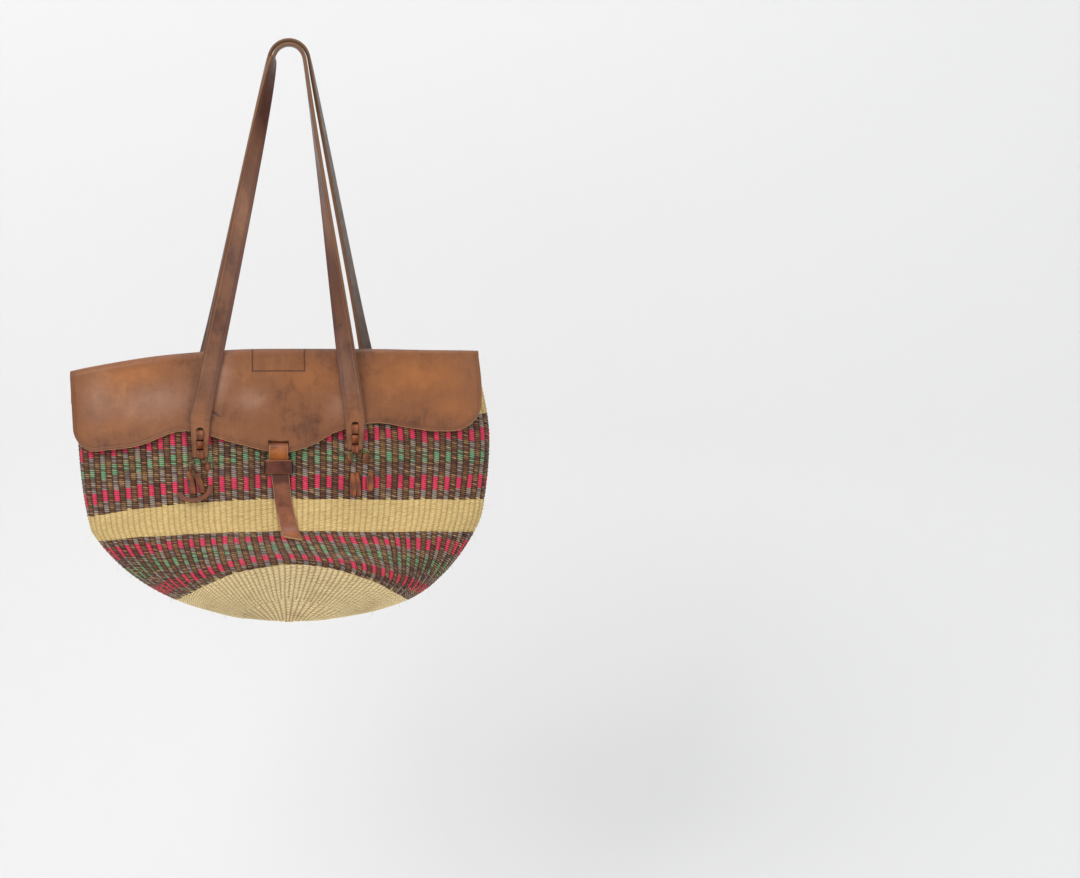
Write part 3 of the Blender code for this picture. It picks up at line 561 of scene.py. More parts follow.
def sisal_finish():
    """Twined sisal. The uv counts ribs and rows. Within a rib, a is how far across it a point lies. A stitch
    is where row + slant * a + half of every other rib has the same whole part, and b is how far down it a
    point lies. Stitches thin out towards both sides of their rib, and shade shows between them."""
    f = Finish("twined_sisal")
    u, v, _ = f.split(f.uv())
    u = u * f.math("POWER", 0.5, sum(v > row for row in RIB_JOINS))
    rib, a = f.math("FLOOR", u), f.math("FRACT", u) - 0.5
    height = v / ROW_MARKS[-1]
    kinds = by_rows([(row, (kind,) * 3) for row, kind in NATURAL_ROWS])
    natural = f.split(f.ramp(height, kinds, constant=True))[0]

    def either(coloured, straw):
        """One number on coloured rows, the other on natural ones."""
        return f.band(natural, 0, 1, coloured, straw, smooth=False)

    base = f.band(v, ROW_MARKS[3] - 1, ROW_MARKS[3] + 1)
    parity = rib % 2.0
    s = either(COLOUR_SLANT, NATURAL_SLANT) * a + v + parity * 0.5
    row, b = f.math("FLOOR", s), f.math("FRACT", s) - 0.5
    luck, second, third = (f.chance(rib, row, seed) for seed in (0.0, 7.0, 13.0))
    run = f.chance(rib, f.math("FLOOR", v / 8.0), 3.0)
    threads = f.noise(f.join(u * 1.6, s * 5.5, luck), 1.0, 4.0, 0.6)

    level = (row + 0.5 + (run * 1.6 - 0.8)) / ROW_MARKS[-1]
    level = f.split(f.mix(natural, f.join(level, 0, 0), f.join(height, 0, 0)))[0]
    dyed = f.ramp(level, by_rows(RIB_BANDS), constant=True)
    pure = f.band(f.split(dyed)[0], 0.40, 0.7, 1.0, 0.10)
    dyed = f.mix(f.band(second, 0.5, 1.0, 0, 0.5) * pure, dyed, FADED)
    dyed = f.mix(f.band(third, 0.60, 0.66) * (pure * 0.75), dyed, STRAY)
    brown = f.ramp(threads * 0.56 + (luck * 0.38 + run * 0.06), BROWN_STOPS)
    straw = f.ramp(luck * 0.12 + (threads * 0.76 + 0.06), STRAW_STOPS)
    straw = f.mix(base * 0.68, straw, BASE_STRAW)
    colour = f.mix(natural, f.mix(parity, brown, dyed), straw)
    uneven = f.band(third, 0, 1, -0.12, 0.10) * either(1.0, 0.35)
    shade = (uneven + 1.0) * f.band(threads, 0.25, 0.75, 0.80, 1.20)
    shade = shade * f.band(f.noise(f.place(), 12.0, 3.0), 0.3, 0.7, 0.93, 1.06)
    low = f.band(f.split(f.place())[2], -0.56, -0.50, 0.3, 0.0)
    colour = f.mix(f.band(f.noise(f.place(), 32.0, 3.0), 0.52, 0.72) * low, colour, DIRT)

    side = abs(a) * 2.0
    thin = side * side * -0.42 + 1.0
    lens = abs(b) * 2.0 / thin
    loud = f.math("MULTIPLY", parity, 1.1 - pure, clamp=True)
    open_from = f.most(loud * 0.26 + 0.34, natural * 0.55)
    row_gap = f.band(lens, open_from, 1.05) * (either(0.95, 0.46) + base * 0.30)
    rib_gap = f.band(side, either(0.74, 0.46), 1.0) * either(0.90, 0.56)
    gap = f.most(rib_gap, row_gap)
    lit = f.node("ShaderNodeVectorMath", {0: colour, "Scale": shade}, operation="SCALE")
    colour = f.mix(gap, lit, f.mix(natural, DEEP_SHADOW, STRAW_SHADOW))
    roughness = f.band(threads, 0.2, 0.8, 0.55, 0.75)
    return f.done(colour, roughness, f.bump(threads * 0.45 - gap, 0.7, 0.0007), specular=0.30, sheen=0.06)


# The weave

def twine_relief(u, v, slant, natural):
    """Height of the stitches at rib place u and row place v: a round rib, minus its depth towards its sides,
    times rows of round stitches that slant across it and thin out at its sides; 0 is the crest."""
    a = u % 1 - 0.5
    s = v + slant * a + 0.5 * (np.floor(u) % 2)
    b = s % 1 - 0.5
    rib = np.sqrt(1 - 0.94 * (2 * a) ** 2)
    stitch = np.sqrt(np.maximum(0, 1 - 0.9 * (2 * b / (1 - 0.3 * (2 * a) ** 2)) ** 2))
    depth = RIB_DEPTH * np.where(v < ROW_MARKS[3], 1 - 0.2 * natural, 1.5)
    uneven = 0.00022 * np.sin(12.9898 * np.floor(u) + 78.233 * np.floor(s))
    return -depth * (1 - rib) - STITCH_DEPTH * (1 - stitch) * (0.5 + 0.5 * rib) + uneven


def disc_pattern(around, rows, toward_rear):
    """Where a point of the base's disc lies in its weaving, as a turn and a row. Its rings are circles of
    size s about a centre that moves back as they shrink: |point - (1 - s) * centre| = s, in disc radii."""
    radius = (ROW_MARKS[-1] - rows) / (ROW_MARKS[-1] - ROW_MARKS[3])
    middle = toward_rear * DISC_CENTRE_SHARE
    x, y = radius * np.cos(around), radius * np.sin(around) - middle
    along = y * middle
    size = (along + np.sqrt(along**2 + (1 - middle**2) * (x**2 + y**2))) / (1 - middle**2)
    turn = np.unwrap(np.arctan2(y + size * middle, x), axis=1)
    return turn, ROW_MARKS[-1] - size * (ROW_MARKS[-1] - ROW_MARKS[3])


# Pieces of the weave: name, first and last row, and columns of points around it
WEAVE_ZONES = (("weave_top", 0, 28, 576), ("weave_upper", 28, 54, 576), ("weave_waist", 54, 73, 576),
               ("weave_natural_band", 73, 90, 576), ("weave_lower", 90, 113, 576),
               ("weave_lowest", 113, 130, 576), ("weave_base_rim", 130, 142, 576),
               ("weave_base_outer", 142, 154, 576),
               ("weave_base_inner", 154, 172, 432), ("weave_base_centre", 172, 190, 288))
STEPS_PER_ROW = 3
CENTRE_HOLE = 0.012
# Waves around the basket and from row to row, in ribs, in rows and in metres off the face
RIB_WANDER, RIB_WAVES = 0.10, ((3, 0.09), (7, -0.05), (13, 0.16), (23, 0.11))
ROW_WANDER, ROW_WAVES = 0.45, ((2, 0.02), (5, 0.05), (11, -0.03), (17, 0.02))
WALL_SWAY, WALL_WAVES = 0.0006, ((4, 0.06), (9, 0.09), (6, -0.12))
RELIEF_LIFT = 0.0003
ROW_EDGE = 0.02


def weave_zone(name, first_row, last_row, columns, finish):
    """Rows of twining as one closed ring of the basket: the relief stands on the weave's outer face, and the
    inside is the same face moved in by the wall, its ribs half as deep."""
    rows = np.linspace(first_row, last_row, (last_row - first_row) * STEPS_PER_ROW + 1)
    places = row_places(rows)
    capped = last_row == ROW_MARKS[-1]
    if capped:
        places = np.minimum(places, RING_MARKS[-1] - CENTRE_HOLE)
    grid = weave_rings(places, columns, np.interp(rows, BUNCH_ROWS, BUNCH_SHARES))
    normals = outward_normals(grid)
    around, down = np.meshgrid(circle(columns), rows)
    if first_row >= ROW_MARKS[3]:
        around, down = disc_pattern(around, down, np.sign(grid[0, columns // 4, 1]))
    u = around / (2 * math.pi) * RIBS + RIB_WANDER * ripple(around, down, RIB_WAVES, 3)
    v = down + ROW_WANDER * ripple(around, down, ROW_WAVES, 5)
    natural = natural_rows(np.clip(down, first_row + ROW_EDGE / 2, last_row - ROW_EDGE / 2))
    slant = COLOUR_SLANT + (NATURAL_SLANT - COLOUR_SLANT) * natural
    if first_row < ROW_MARKS[3]:
        v = np.clip(v, first_row + ROW_EDGE, last_row - ROW_EDGE)
    joined = u / 2 ** np.searchsorted(RIB_JOINS, v)
    sway = WALL_SWAY * ripple(around, down, WALL_WAVES, 8)
    fade = np.minimum(1, (RING_MARKS[-1] - places) * STEPS_PER_ROW * 4)[:, None] if capped else 1
    relief = (twine_relief(joined, v, slant, natural) + sway) * fade
    outer = grid + normals * (RELIEF_LIFT + relief)[..., None]
    inside = twine_relief(joined, v + 0.5, slant, natural) * 0.5
    inner = grid - normals * (WALL - 2 * RELIEF_LIFT + inside - sway)[..., None]
    uv = np.stack([np.hstack([u, u[:, :1] + RIBS]), np.hstack([v, v[:, :1]])], axis=-1)
    return shell(name, outer, inner, uv, finish, "basket", wraps=True, capped=capped)


def weave():
    finish = sisal_finish()
    pieces = [weave_zone(*zone, finish) for zone in WEAVE_ZONES]
    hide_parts("woven_body")


def cord_finish(name, light, dark):
    """Twisted sisal fibre: its strands wind round, so their shade follows turns and length together."""
    f = Finish(name)
    u, v, _ = f.split(f.uv())
    strands = f.noise(f.join(v * CORD_WINDING + u * 6.0, v * (CORD_WINDING / 9), 0.0), 1.0, 3.0, 0.6)
    fibres = f.noise(f.stretch(f.place(), (CORD_FIBRES,) * 3), 1.0, 2.0)
    tone = strands * 0.7 + fibres * 0.3
    colour = f.ramp(tone, ((0.25, dark), (0.52, light), (0.75, tuple(min(1, c * 1.25) for c in light))))
    return f.done(colour, 0.75, f.bump(tone, 0.6, 0.0004), specular=0.25, sheen=0.1)


CORD_WINDING = 260.0
CORD_FIBRES = 900.0
BRAID_COLUMNS = 1260
BRAID_TURNS = 78
BRAID_SWING = (0.0018, 0.0011)
BRAID_STRAND = (0.0019, 0.0015)
MOUTH_ROUND = 0.83


def rim_braid():
    """Three strands plaited round the mouth. Each swings in and out as the sine of its turn and up and down
    as the sine of twice its turn, a third of a turn behind the one before."""
    ring = weave_rings(np.zeros(1), BRAID_COLUMNS)[0]
    along = unit(np.roll(ring, -1, axis=0) - np.roll(ring, 1, axis=0))
    up = np.array((0.0, 0.0, 1.0))
    inward = unit(np.cross(up, along))
    centre = ring + inward * WALL / 2 + up * (BRAID_RADIUS + GAP)
    finish = cord_finish("rim_sisal", rgb(206, 180, 120), rgb(120, 92, 52))
    sides = circle(10)[:, None]
    aside, above = np.cos(sides) * BRAID_STRAND[0], np.sin(sides) * BRAID_STRAND[1] * up
    length = np.arange(BRAID_COLUMNS + 1) / BRAID_COLUMNS * MOUTH_ROUND
    uv = np.stack(np.meshgrid(np.arange(11) / 10, length), axis=-1)
    for strand in range(3):
        turn = (circle(BRAID_COLUMNS) * BRAID_TURNS + strand * 2 * math.pi / 3)[:, None]
        path = centre + inward * BRAID_SWING[0] * np.sin(turn) + up * BRAID_SWING[1] * np.sin(2 * turn)
        grid = path[:, None] + aside * inward[:, None] + above
        piece = tube(f"rim_braid_strand_{strand + 1}", grid, uv, finish, "basket", closed=True)
        if strand == 0:
            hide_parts("rim_braid")


# Leather

# Painted shade for the strap's holes, which are dents that don't go through
HOLE_SHADE = rgb(30, 16, 10)
FRAME_DARK = rgb(62, 32, 18)
PRESSED_LINE = (0.0029, 0.0034, 0.0038, 0.0044)
FRAME_LINE = (0.00035, 0.0009)


def leather_finish(name, light, middle, dark, edge, seed, grain=0.5, gloss=0.46, streak=0.0, pressed=0.0,
                   contrast=1.0, tints=()):
    """Worn leather: patches and mottles of three shades, pores, fine lines and scratches, a pressed line
    inside the cut edge, and a burnished edge. The attribute rim is the distance from the cut edge in metres,
    pit is 1 in a hole, whose dark colour is painted shade, and wear lightens or darkens where a bend or
    rubbing has changed the surface, and darkens as painted shade in creases, beside and under other parts
    and inside the weave. Each tint is an attribute's name, a colour, and how much of it shows where that
    attribute is 1; some tints paint sheen, highlights and shadow as well."""
    f = Finish(name)
    away = (seed * 0.37, seed * 0.11, seed * 0.73)
    place = f.node("ShaderNodeVectorMath", (f.place(), away), operation="ADD")
    patches = f.noise(place, 14.0, 4.0, 0.6, 0.6)
    mottle = f.noise(place, 70.0, 5.0, 0.66, 0.4)
    drawn = f.noise(f.stretch(place, (260.0, 260.0, 34.0)), 1.0, 3.0, 0.6)
    scratch = f.noise(f.stretch(place, (800.0, 800.0, 90.0)), 1.0, 2.0, 0.5, 1.2)
    lines = f.noise(place, 620.0, 3.0, 0.6)
    tone = drawn * (0.10 + streak) + (patches * 0.50 + mottle * 0.40 - streak / 2)
    tone = tone * contrast + (0.5 - contrast / 2) + f.value_of("wear_and_shade")
    colour = f.ramp(tone, ((0.32, dark), (0.50, middle), (0.68, light)))
    for attribute, tint, share in tints:
        spread = f.value_of(attribute) * f.band(mottle, 0.25, 0.75, 0.75, 1.25)
        colour = f.mix(f.math("MULTIPLY", spread, share, clamp=True), colour, tint)
    rim = f.value_of("rim")
    near, from_line, to_line, far = PRESSED_LINE
    line = f.band(rim, near, from_line) * f.band(rim, to_line, far, 1.0, 0.0)
    cut_edge = rim < f.noise(place, 420.0, 2.0) * 0.0007 + 0.0002
    for share, layer in ((f.band(lines, 0.50, 0.8, 0, 0.30), dark),
                         (f.band(scratch, 0.70, 0.78, 0, 0.35), light),
                         (f.band(rim, 0.0, 0.009, 0.30, 0.0), dark), (line * pressed, dark),
                         (cut_edge * 0.8, edge), (f.value_of("pit"), HOLE_SHADE)):
        colour = f.mix(share, colour, layer)
    roughness = f.band(mottle, 0.3, 0.7, gloss - 0.06, gloss + 0.10) + cut_edge * 0.2
    height = f.cells(place, 1500.0) * 0.35 + lines * 0.5 - line * (pressed * 1.6)
    normal = f.bump(height, grain, 0.00035)
    return f.done(colour, roughness, f.bump(mottle, 0.30, 0.0012, normal), specular=0.42)


def press_frame(finish, left, right, top, bottom):
    """Adds a plain pressed frame to a leather finish, on the uv's metres: a thin sunk line on four sides."""
    f = Finish.__new__(Finish)
    f.tree = finish.node_tree
    sockets = f.tree.nodes["Principled BSDF"].inputs
    colour, below = (Value(f, sockets[key].links[0].from_socket) for key in ("Base Color", "Normal"))
    u, v, _ = f.split(f.uv())
    u = u + (f.noise(f.place(), 90.0, 1.0) - 0.5) * 0.0006
    across = abs(u - (left + right) / 2) - (right - left) / 2
    down = abs(v - (top + bottom) / 2) - (bottom - top) / 2
    off = f.most(across, down)
    line = f.band(abs(off), *FRAME_LINE, 1.0, 0.0)
    wrap = f.band(off, -0.0004, 0.0004, 0.10, 0.0)
    f.feed(sockets, {"Base Color": f.mix(f.most(line * 0.75, wrap), colour, FRAME_DARK),
                     "Normal": f.bump(1.0 - line, 0.8, 0.0007, below)})


# Flap

# Where its colour differs, as place across and down from the front fold, reach across and down, and how much
FLAP_WARMTH = ((-0.158, 0.018, 0.036, 0.012, 0.9), (0.130, 0.028, 0.048, 0.018, 0.8),
               (0.020, 0.030, 0.030, 0.014, 0.5), (-0.175, 0.066, 0.026, 0.010, 0.5),
               (0.165, 0.060, 0.020, 0.014, 0.5))
# Of these spots, the second and third are painted sheen, a greyish-pink highlight; the others are a mauve-grey tone
FLAP_TINT_AND_SHEEN = ((-0.135, 0.048, 0.036, 0.016, 0.8), (-0.070, 0.026, 0.011, 0.024, 1.0),
              (-0.038, 0.052, 0.014, 0.010, 0.8), (-0.190, 0.034, 0.012, 0.020, 0.5),
              (0.050, 0.060, 0.012, 0.012, 0.5))
# Darker and lighter spots; the first and third, just beside the straps' edges, are painted shadow of the straps
FLAP_TONES_AND_SHADOWS = ((-0.098, 0.036, 0.007, 0.034, -0.05), (0.022, 0.080, 0.024, 0.014, -0.06),
              (0.078, 0.034, 0.006, 0.030, -0.03), (-0.060, 0.068, 0.020, 0.012, -0.08),
              (0.130, 0.072, 0.060, 0.007, -0.04), (-0.170, 0.076, 0.040, 0.007, -0.06),
              (-0.026, 0.046, 0.003, 0.003, -0.06), (0.0, 0.002, 0.2, 0.005, -0.08),
              (-0.010, 0.020, 0.030, 0.014, 0.05), (0.110, 0.046, 0.030, 0.016, 0.04))
STAMP_FRAME = (-0.0365, 0.0155, -0.004, 0.0243)
# Short creases beside the left strap: place across and down, and lean
FLAP_CREASES = ((-0.078, 0.062, 0.5), (-0.072, 0.066, 0.7), (-0.084, 0.058, 0.4))
CREASE_DEPTH = 0.0010
PRESSED_AT = 0.0036
# How far the flap's left end leans in and its right end bulges, and how far along that reaches
LEFT_LEAN, RIGHT_BULGE, END_REACH = 0.0062, 0.0032, 0.022


def spots(x, down, places):
    """Soft round spots over the flap: the sum of each one's strength times a bell curve of its distance."""
    return sum(much * np.exp(-((x - at) / wide) ** 2 - ((down - low) / tall) ** 2)
               for at, low, wide, tall, much in places)


def flap_top_z(x):
    """Height of the middle of the hide where the flap lies over the braided rim."""
    return mouth_z(x) + 2 * GAP + 2 * BRAID_RADIUS + HIDE / 2


def corner_rise(x, radius):
    """How much higher a flap's edge lies near its ends, where a corner of that radius rounds it."""
    inset = np.maximum(0, radius - np.minimum(x - FLAP_LEFT_X, FLAP_RIGHT_X - x))
    return radius - np.sqrt(np.maximum(0, radius**2 - inset**2))


def apron_edge_z(x):
    """Height of the apron's scalloped edge: a smooth curve through the scallops' drops, its corners round."""
    x = np.asarray(x, dtype=float)
    place = (x - FLAP_LEFT_X) / (FLAP_RIGHT_X - FLAP_LEFT_X)
    row = np.interp(place, SCALLOP_PLACE_SHARES, np.arange(len(SCALLOP_PLACE_SHARES)))
    drop = APRON_DROP * smooth_curve(np.array(SCALLOP_DROP_SHARES)[:, None], row.ravel())[:, 0]
    return flap_top_z(x) + HIDE / 2 - drop.reshape(x.shape) + corner_rise(x, APRON_CORNER)


def back_leaf_edge_z(x):
    return flap_top_z(x) - BACK_LEAF_DROP + corner_rise(x, BACK_LEAF_CORNER)


def flap_room(rear):
    return BRAID_ROOM if rear else TONGUE_ROOM


def slot_z():
    return float(apron_edge_z(TONGUE_X)) + SLOT_ABOVE_EDGE


def flap_sheet():
    """The hide's middle surface as rows from the back leaf's edge over the mouth to the apron's edge, and
    columns along it: straight down each leaf on the weave's form, a quarter circle at each fold, and flat
    between. Also each point's distance from the cut edge, and from the front fold's start."""
    ends = np.array((0, 0.0003, 0.0007, 0.0012, 0.0020, 0.0028, 0.0032, 0.0036, 0.0040, 0.0046, 0.0060))
    slot = TONGUE_WIDTH / 2 + SLOT_SIDE_GAP
    x = np.concatenate([FLAP_LEFT_X + ends, np.linspace(FLAP_LEFT_X + 0.0075, FLAP_RIGHT_X - 0.0075, 250),
                        FLAP_RIGHT_X - ends[::-1]])
    for side in (-1, 1):
        x[np.argmin(np.abs(x - TONGUE_X - side * slot))] = TONGUE_X + side * slot
    top = flap_top_z(x)
    turns = np.linspace(0, math.pi / 2, 9)
    fine = np.array((0, 0.0003, 0.0007, 0.0012, 0.0020, 0.0028, 0.0032, 0.0036, 0.0040, 0.0048,
                     SLOT_ABOVE_EDGE - SLOT_HEIGHT / 2, 0.0072, 0.0085, 0.0098,
                     SLOT_ABOVE_EDGE + SLOT_HEIGHT / 2, 0.0128, 0.0145))

    def leaf(rear, edge, steps, near):
        """Heights and distances off the mid plane of one hanging leaf, from its fold down to its edge."""
        start = top - FLAP_FOLD_RADIUS
        upper = start + (edge + near[-1] - start) * np.linspace(0, 1, steps)[:, None]
        room = np.clip((start - edge) / (near[-1] * 1.02), 0, 1)
        z = np.vstack([np.minimum(upper, start), edge + near[::-1][1:, None] * room])
        lowest = z[steps] + (near[-1] - near[-2]) * room
        z[:steps] = start + (lowest - start) * np.linspace(0, 1, steps)[:, None]
        stand_off = HIDE / 2 + flap_room(rear)
        y = np.stack([weave_depth(np.full(len(z), place), column, rear, stand_off, FLAP_END_MARGIN)
                      for place, column in zip(x, z.T)], axis=1)
        return z, y

    def fold(rear):
        depth = weave_depth(x, MOUTH_EDGE_Z, rear, HIDE / 2 + flap_room(rear), FLAP_END_MARGIN)
        y = depth - FLAP_FOLD_RADIUS * (1 - np.sin(turns[:-1, None]))
        return top - FLAP_FOLD_RADIUS * (1 - np.cos(turns[:-1, None])), y

    back_z, back_y = leaf(True, back_leaf_edge_z(x), 14, fine[:9])
    front_z, front_y = leaf(False, apron_edge_z(x), 52, fine)
    rear_fold_z, rear_fold_y = fold(True)
    front_fold_z, front_fold_y = fold(False)
    flat = np.linspace(0, 1, 18)[1:-1, None]
    crown_y = rear_fold_y[0] * (1 - flat) - front_fold_y[0] * flat
    z = np.vstack([back_z[::-1], rear_fold_z[::-1], top + 0 * crown_y, front_fold_z, front_z])
    y = np.vstack([back_y[::-1], rear_fold_y[::-1], crown_y, -front_fold_y, -front_y])
    grid = np.stack([np.tile(x, (len(z), 1)), y, z], axis=-1)
    low = np.clip((top - FLAP_FOLD_RADIUS - front_z) / APRON_DROP, 0, 1)
    left, right = (np.exp(-(over / END_REACH) ** 2) for over in (x - FLAP_LEFT_X, FLAP_RIGHT_X - x))
    bulge = RIGHT_BULGE * np.sin(np.minimum(low * 4.4, math.pi))
    grid[-len(front_z):, :, 0] += LEFT_LEAN * low * left + bulge * right
    crown_row = len(back_z) + len(rear_fold_z) + len(flat) // 2
    fold_row = len(back_z) + len(rear_fold_z) + len(flat)
    length = np.stack([lengths_along(grid[:, column]) for column in range(len(x))], axis=1)
    down = length - length[fold_row]
    slope = np.gradient(apron_edge_z(x), x)
    back_slope = np.gradient(back_leaf_edge_z(x), x)
    bottom = (length[-1] - length) / np.sqrt(1 + slope**2)
    back = length / np.sqrt(1 + back_slope**2)
    rim = np.minimum(np.minimum(x - FLAP_LEFT_X, FLAP_RIGHT_X - x)[None], np.minimum(bottom, back))
    return grid, rim, down, crown_row


def flap():
    """The flap as two closed shells of hide that meet on the crown, bent at their folds."""
    grid, rim, down, crown_row = flap_sheet()
    normals = grid_normals(grid)
    if normals[-20, 100, 1] > 0:
        normals = -normals
    x = grid[..., 0]
    half = HIDE / 2 * (0.5 + 0.5 * np.sqrt(1 - (1 - np.clip(rim / 0.0009, 0, 1)) ** 2))
    groove = 0.00018 * np.exp(-((rim - PRESSED_AT) / 0.00045) ** 2)
    waves = 0.00030 * ripple(x, down, ((31, 22), (57, -40), (83, 61), (19, 75)), 4)
    crease = 0
    for at, low, lean in FLAP_CREASES:
        across, along = (down - low) - lean * (x - at), (x - at) + lean * (down - low)
        crease = crease + np.exp(-(across / 0.0009) ** 2 - (along / 0.006) ** 2)
    waves = waves * np.clip(rim / 0.01, 0, 1)
    outer = grid + normals * (half - groove + waves - CREASE_DEPTH * crease)[..., None]
    inner = grid - normals * half[..., None]
    wear_and_shade = 0.05 * ripple(x, down, ((12, 9), (29, -25), (47, 31)), 6) + spots(x, down, FLAP_TONES_AND_SHADOWS)
    # Painted shade darkens the creases
    wear_and_shade = wear_and_shade - 0.22 * crease
    # Of the hide's tints, the greyish-pink one is painted sheen on some spots and a mauve-grey tone on others
    finish = leather_finish("flap_hide", rgb(164, 107, 62), rgb(132, 81, 46), rgb(84, 48, 31),
                            rgb(186, 142, 96), 1.0, grain=0.5, gloss=0.42, streak=0.07, pressed=0.22, contrast=0.72,
                            tints=(("warmth_and_highlight", rgb(178, 108, 50), 0.60), ("tint_and_sheen", rgb(170, 130, 110), 0.62)))
    press_frame(finish, *STAMP_FRAME)
    uv = np.stack([x, down], axis=-1)
    slot_columns = np.abs(x[0, :-1] + x[0, 1:] - 2 * TONGUE_X) / 2 < TONGUE_WIDTH / 2 + SLOT_SIDE_GAP
    above = SLOT_ABOVE_EDGE + np.array((-1, 1)) * SLOT_HEIGHT / 2
    middle = np.argmin(np.abs(x[0] - TONGUE_X))
    height = grid[:, middle, 2] - apron_edge_z(x[0, middle])
    cell_height = (height[:-1] + height[1:]) / 2
    slot_rows = (cell_height > above[0]) & (cell_height < above[1])
    slot_rows &= np.arange(len(cell_height)) > crown_row
    kept = ~(slot_rows[:, None] & slot_columns[None])
    made = {"rim": rim, "wear_and_shade": wear_and_shade, "warmth_and_highlight": spots(x, down, FLAP_WARMTH),
            "tint_and_sheen": spots(x, down, FLAP_TINT_AND_SHEEN)}
    pieces = []
    for name, low, high in (("flap_back_and_crown", 0, crown_row), ("flap_front", crown_row, len(grid) - 1)):
        rows = slice(low, high + 1)
        piece = shell(name, outer[rows], inner[rows], uv[rows], finish, None, kept=kept[low:high],
                      **{key: value[rows] for key, value in made.items()})
        pieces.append(piece)
    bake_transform(pieces[0])
    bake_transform(pieces[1])
    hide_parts("flap_back_leaf", "flap_crown")
    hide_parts("flap_apron")


# Strips of leather

SIDE_ROUND = 0.0011


def section(width, count):
    """Round a strip's section: places across it from -1 to 1, and heights from -1 to 1 with rounded sides."""
    across = -np.cos(np.linspace(0, math.pi, count + 1))
    inset = np.clip((np.abs(across) * width / 2 - (width / 2 - SIDE_ROUND)) / SIDE_ROUND, 0, 1)
    height = np.sqrt(1 - inset**2)
    return np.concatenate([across, across[-2:0:-1]]), np.concatenate([height, -height[-2:0:-1]])


def strip(name, path, across, widths, thickness, count, finish, body, relief=None, end_round=0.0015,
          slant=0.0):
    """A strip of leather: its section carried along a path, its corners rounded and its last end cut at a
    slant. The relief gives the face's height and attributes for the place across, the length along, the
    point, and whether it is on the face."""
    tangent = unit(np.gradient(path, axis=0))
    across = unit(across)
    face = unit(np.cross(across, tangent))
    wide = np.broadcast_to(widths, len(path)).astype(float)
    places, heights = section(wide.mean(), count)
    length = lengths_along(path)
    to_end = np.minimum(length, length[-1] - length)
    corner = np.sqrt(1 - (1 - np.clip(to_end / end_round, 0, 1)) ** 2)
    half_wide = (wide - 2 * end_round * 0.7 * (1 - corner))[:, None] / 2
    aside = places * half_wide
    near_end = np.clip(1 - (length[-1] - length) / 0.03, 0, 1)[:, None]
    grid = path[:, None] + across[:, None] * aside[..., None]
    grid = grid + tangent[:, None] * (slant * near_end * aside)[..., None]
    rim = np.minimum((1 - np.abs(places)) * half_wide, to_end[:, None])
    lift = heights * (thickness / 2 * (0.45 + 0.55 * corner))[:, None]
    # The underside; on the straps its dark flesh-side tint also stands for the shade it lies in, so it is partly
    # painted shade
    made = {"rim": rim, "flesh_side_and_shade": np.broadcast_to(heights < 0, rim.shape)}
    if relief is not None:
        offset, more = relief(aside, length[:, None] + 0 * rim, grid, heights > 0)
        lift = lift + offset
        made.update(more)
    grid = grid + face[:, None] * lift[..., None]
    around = np.hstack([aside, aside[:, :1]])
    uv = np.stack([around, np.broadcast_to(length[:, None], around.shape)], axis=-1)
    return tube(name, grid, uv, finish, body, **made)


# Tongue and keeper

# Heights of its creases, their depths and half widths; heights and reaches of its lit bend, of the shade
# below the keeper and of the rubbed stretch
TONGUE_CREASES = ((-0.4215, 0.00016, 0.0007), (-0.4455, 0.00022, 0.0008), (-0.4610, 0.00018, 0.0007),
                  (-0.4700, 0.00015, 0.0006), (-0.4810, 0.00012, 0.0006))
TONGUE_PATCHES = ((-0.4105, 0.007), (-0.4330, 0.006), (-0.4700, 0.02))


def bell(value, middle, reach):
    return np.exp(-((value - middle) / reach) ** 2)


def closure_tongue(finish):
    """A strip that starts behind the apron, comes out of its slot, tucks through the keeper and curls."""
    behind = GAP + TONGUE_THICK / 2
    outside = TONGUE_ROOM + HIDE + GAP + TONGUE_THICK / 2
    top = slot_z()
    knots = [
        (TONGUE_X, behind, top + SLOT_HEIGHT * 3, TONGUE_WIDTH),
        (TONGUE_X, behind, top + SLOT_HEIGHT, TONGUE_WIDTH),
        (TONGUE_X, behind, top + SLOT_HEIGHT / 3, TONGUE_WIDTH),
        (TONGUE_X, TONGUE_ROOM + HIDE / 2, top, TONGUE_WIDTH),
        (TONGUE_X, outside + GAP, top - SLOT_HEIGHT / 2, TONGUE_WIDTH),
        (TONGUE_X, outside + TONGUE_THICK / 2, top - SLOT_HEIGHT, TONGUE_WIDTH),
    ]
    knots += [(TONGUE_X + TONGUE_DRIFT * drift, TONGUE_THICK * stand, top - TONGUE_FALL * below,
               TONGUE_WIDTH * width)
              for below, drift, stand, width in zip(TONGUE_BELOW_SHARES, TONGUE_DRIFT_SHARES,
                                                    TONGUE_STAND_SHARES, TONGUE_WIDTH_SHARES)]
    curve = smooth_curve(knots, np.linspace(0, len(knots) - 1, 240))
    x, stand, z, width = curve.T
    values = np.hstack([width[:, None], weave_across(x, z, False)])
    path, values = resample(off_weave(x, z, stand, False), values, 0.0007)

    def relief(w, length, grid, face):
        z = grid[..., 2]
        creases = np.zeros_like(w)
        for height, depth, spread in TONGUE_CREASES:
            line = z - height - 0.0010 * np.sin(w * 300 + height * 9000)
            creases -= depth * np.exp(-(line / spread) ** 2)
        cup = 0.0004 * (w / (TONGUE_WIDTH / 2)) ** 2 * np.clip((-0.43 - z) / 0.03, 0, 1)
        glow, dim, rubbed = (bell(z, middle, reach) for middle, reach in TONGUE_PATCHES)
        # Painted shade darkens the creases and the stretch below the keeper; the bend's painted highlight goes into
        # the warm tint
        wear_and_shade = 0.06 * rubbed + creases * 260 + 0.03 * np.sin(length * 220) - 0.18 * dim
        return np.where(face, creases, 0) + cup, {"wear_and_shade": wear_and_shade, "warmth_and_highlight": glow}

    piece = strip("closure_tongue_leather", path, values[:, 1:], values[:, 0], TONGUE_THICK, 30, finish,
                  "flap_apron", relief, end_round=0.0016, slant=0.45)
    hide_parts("closure_tongue")


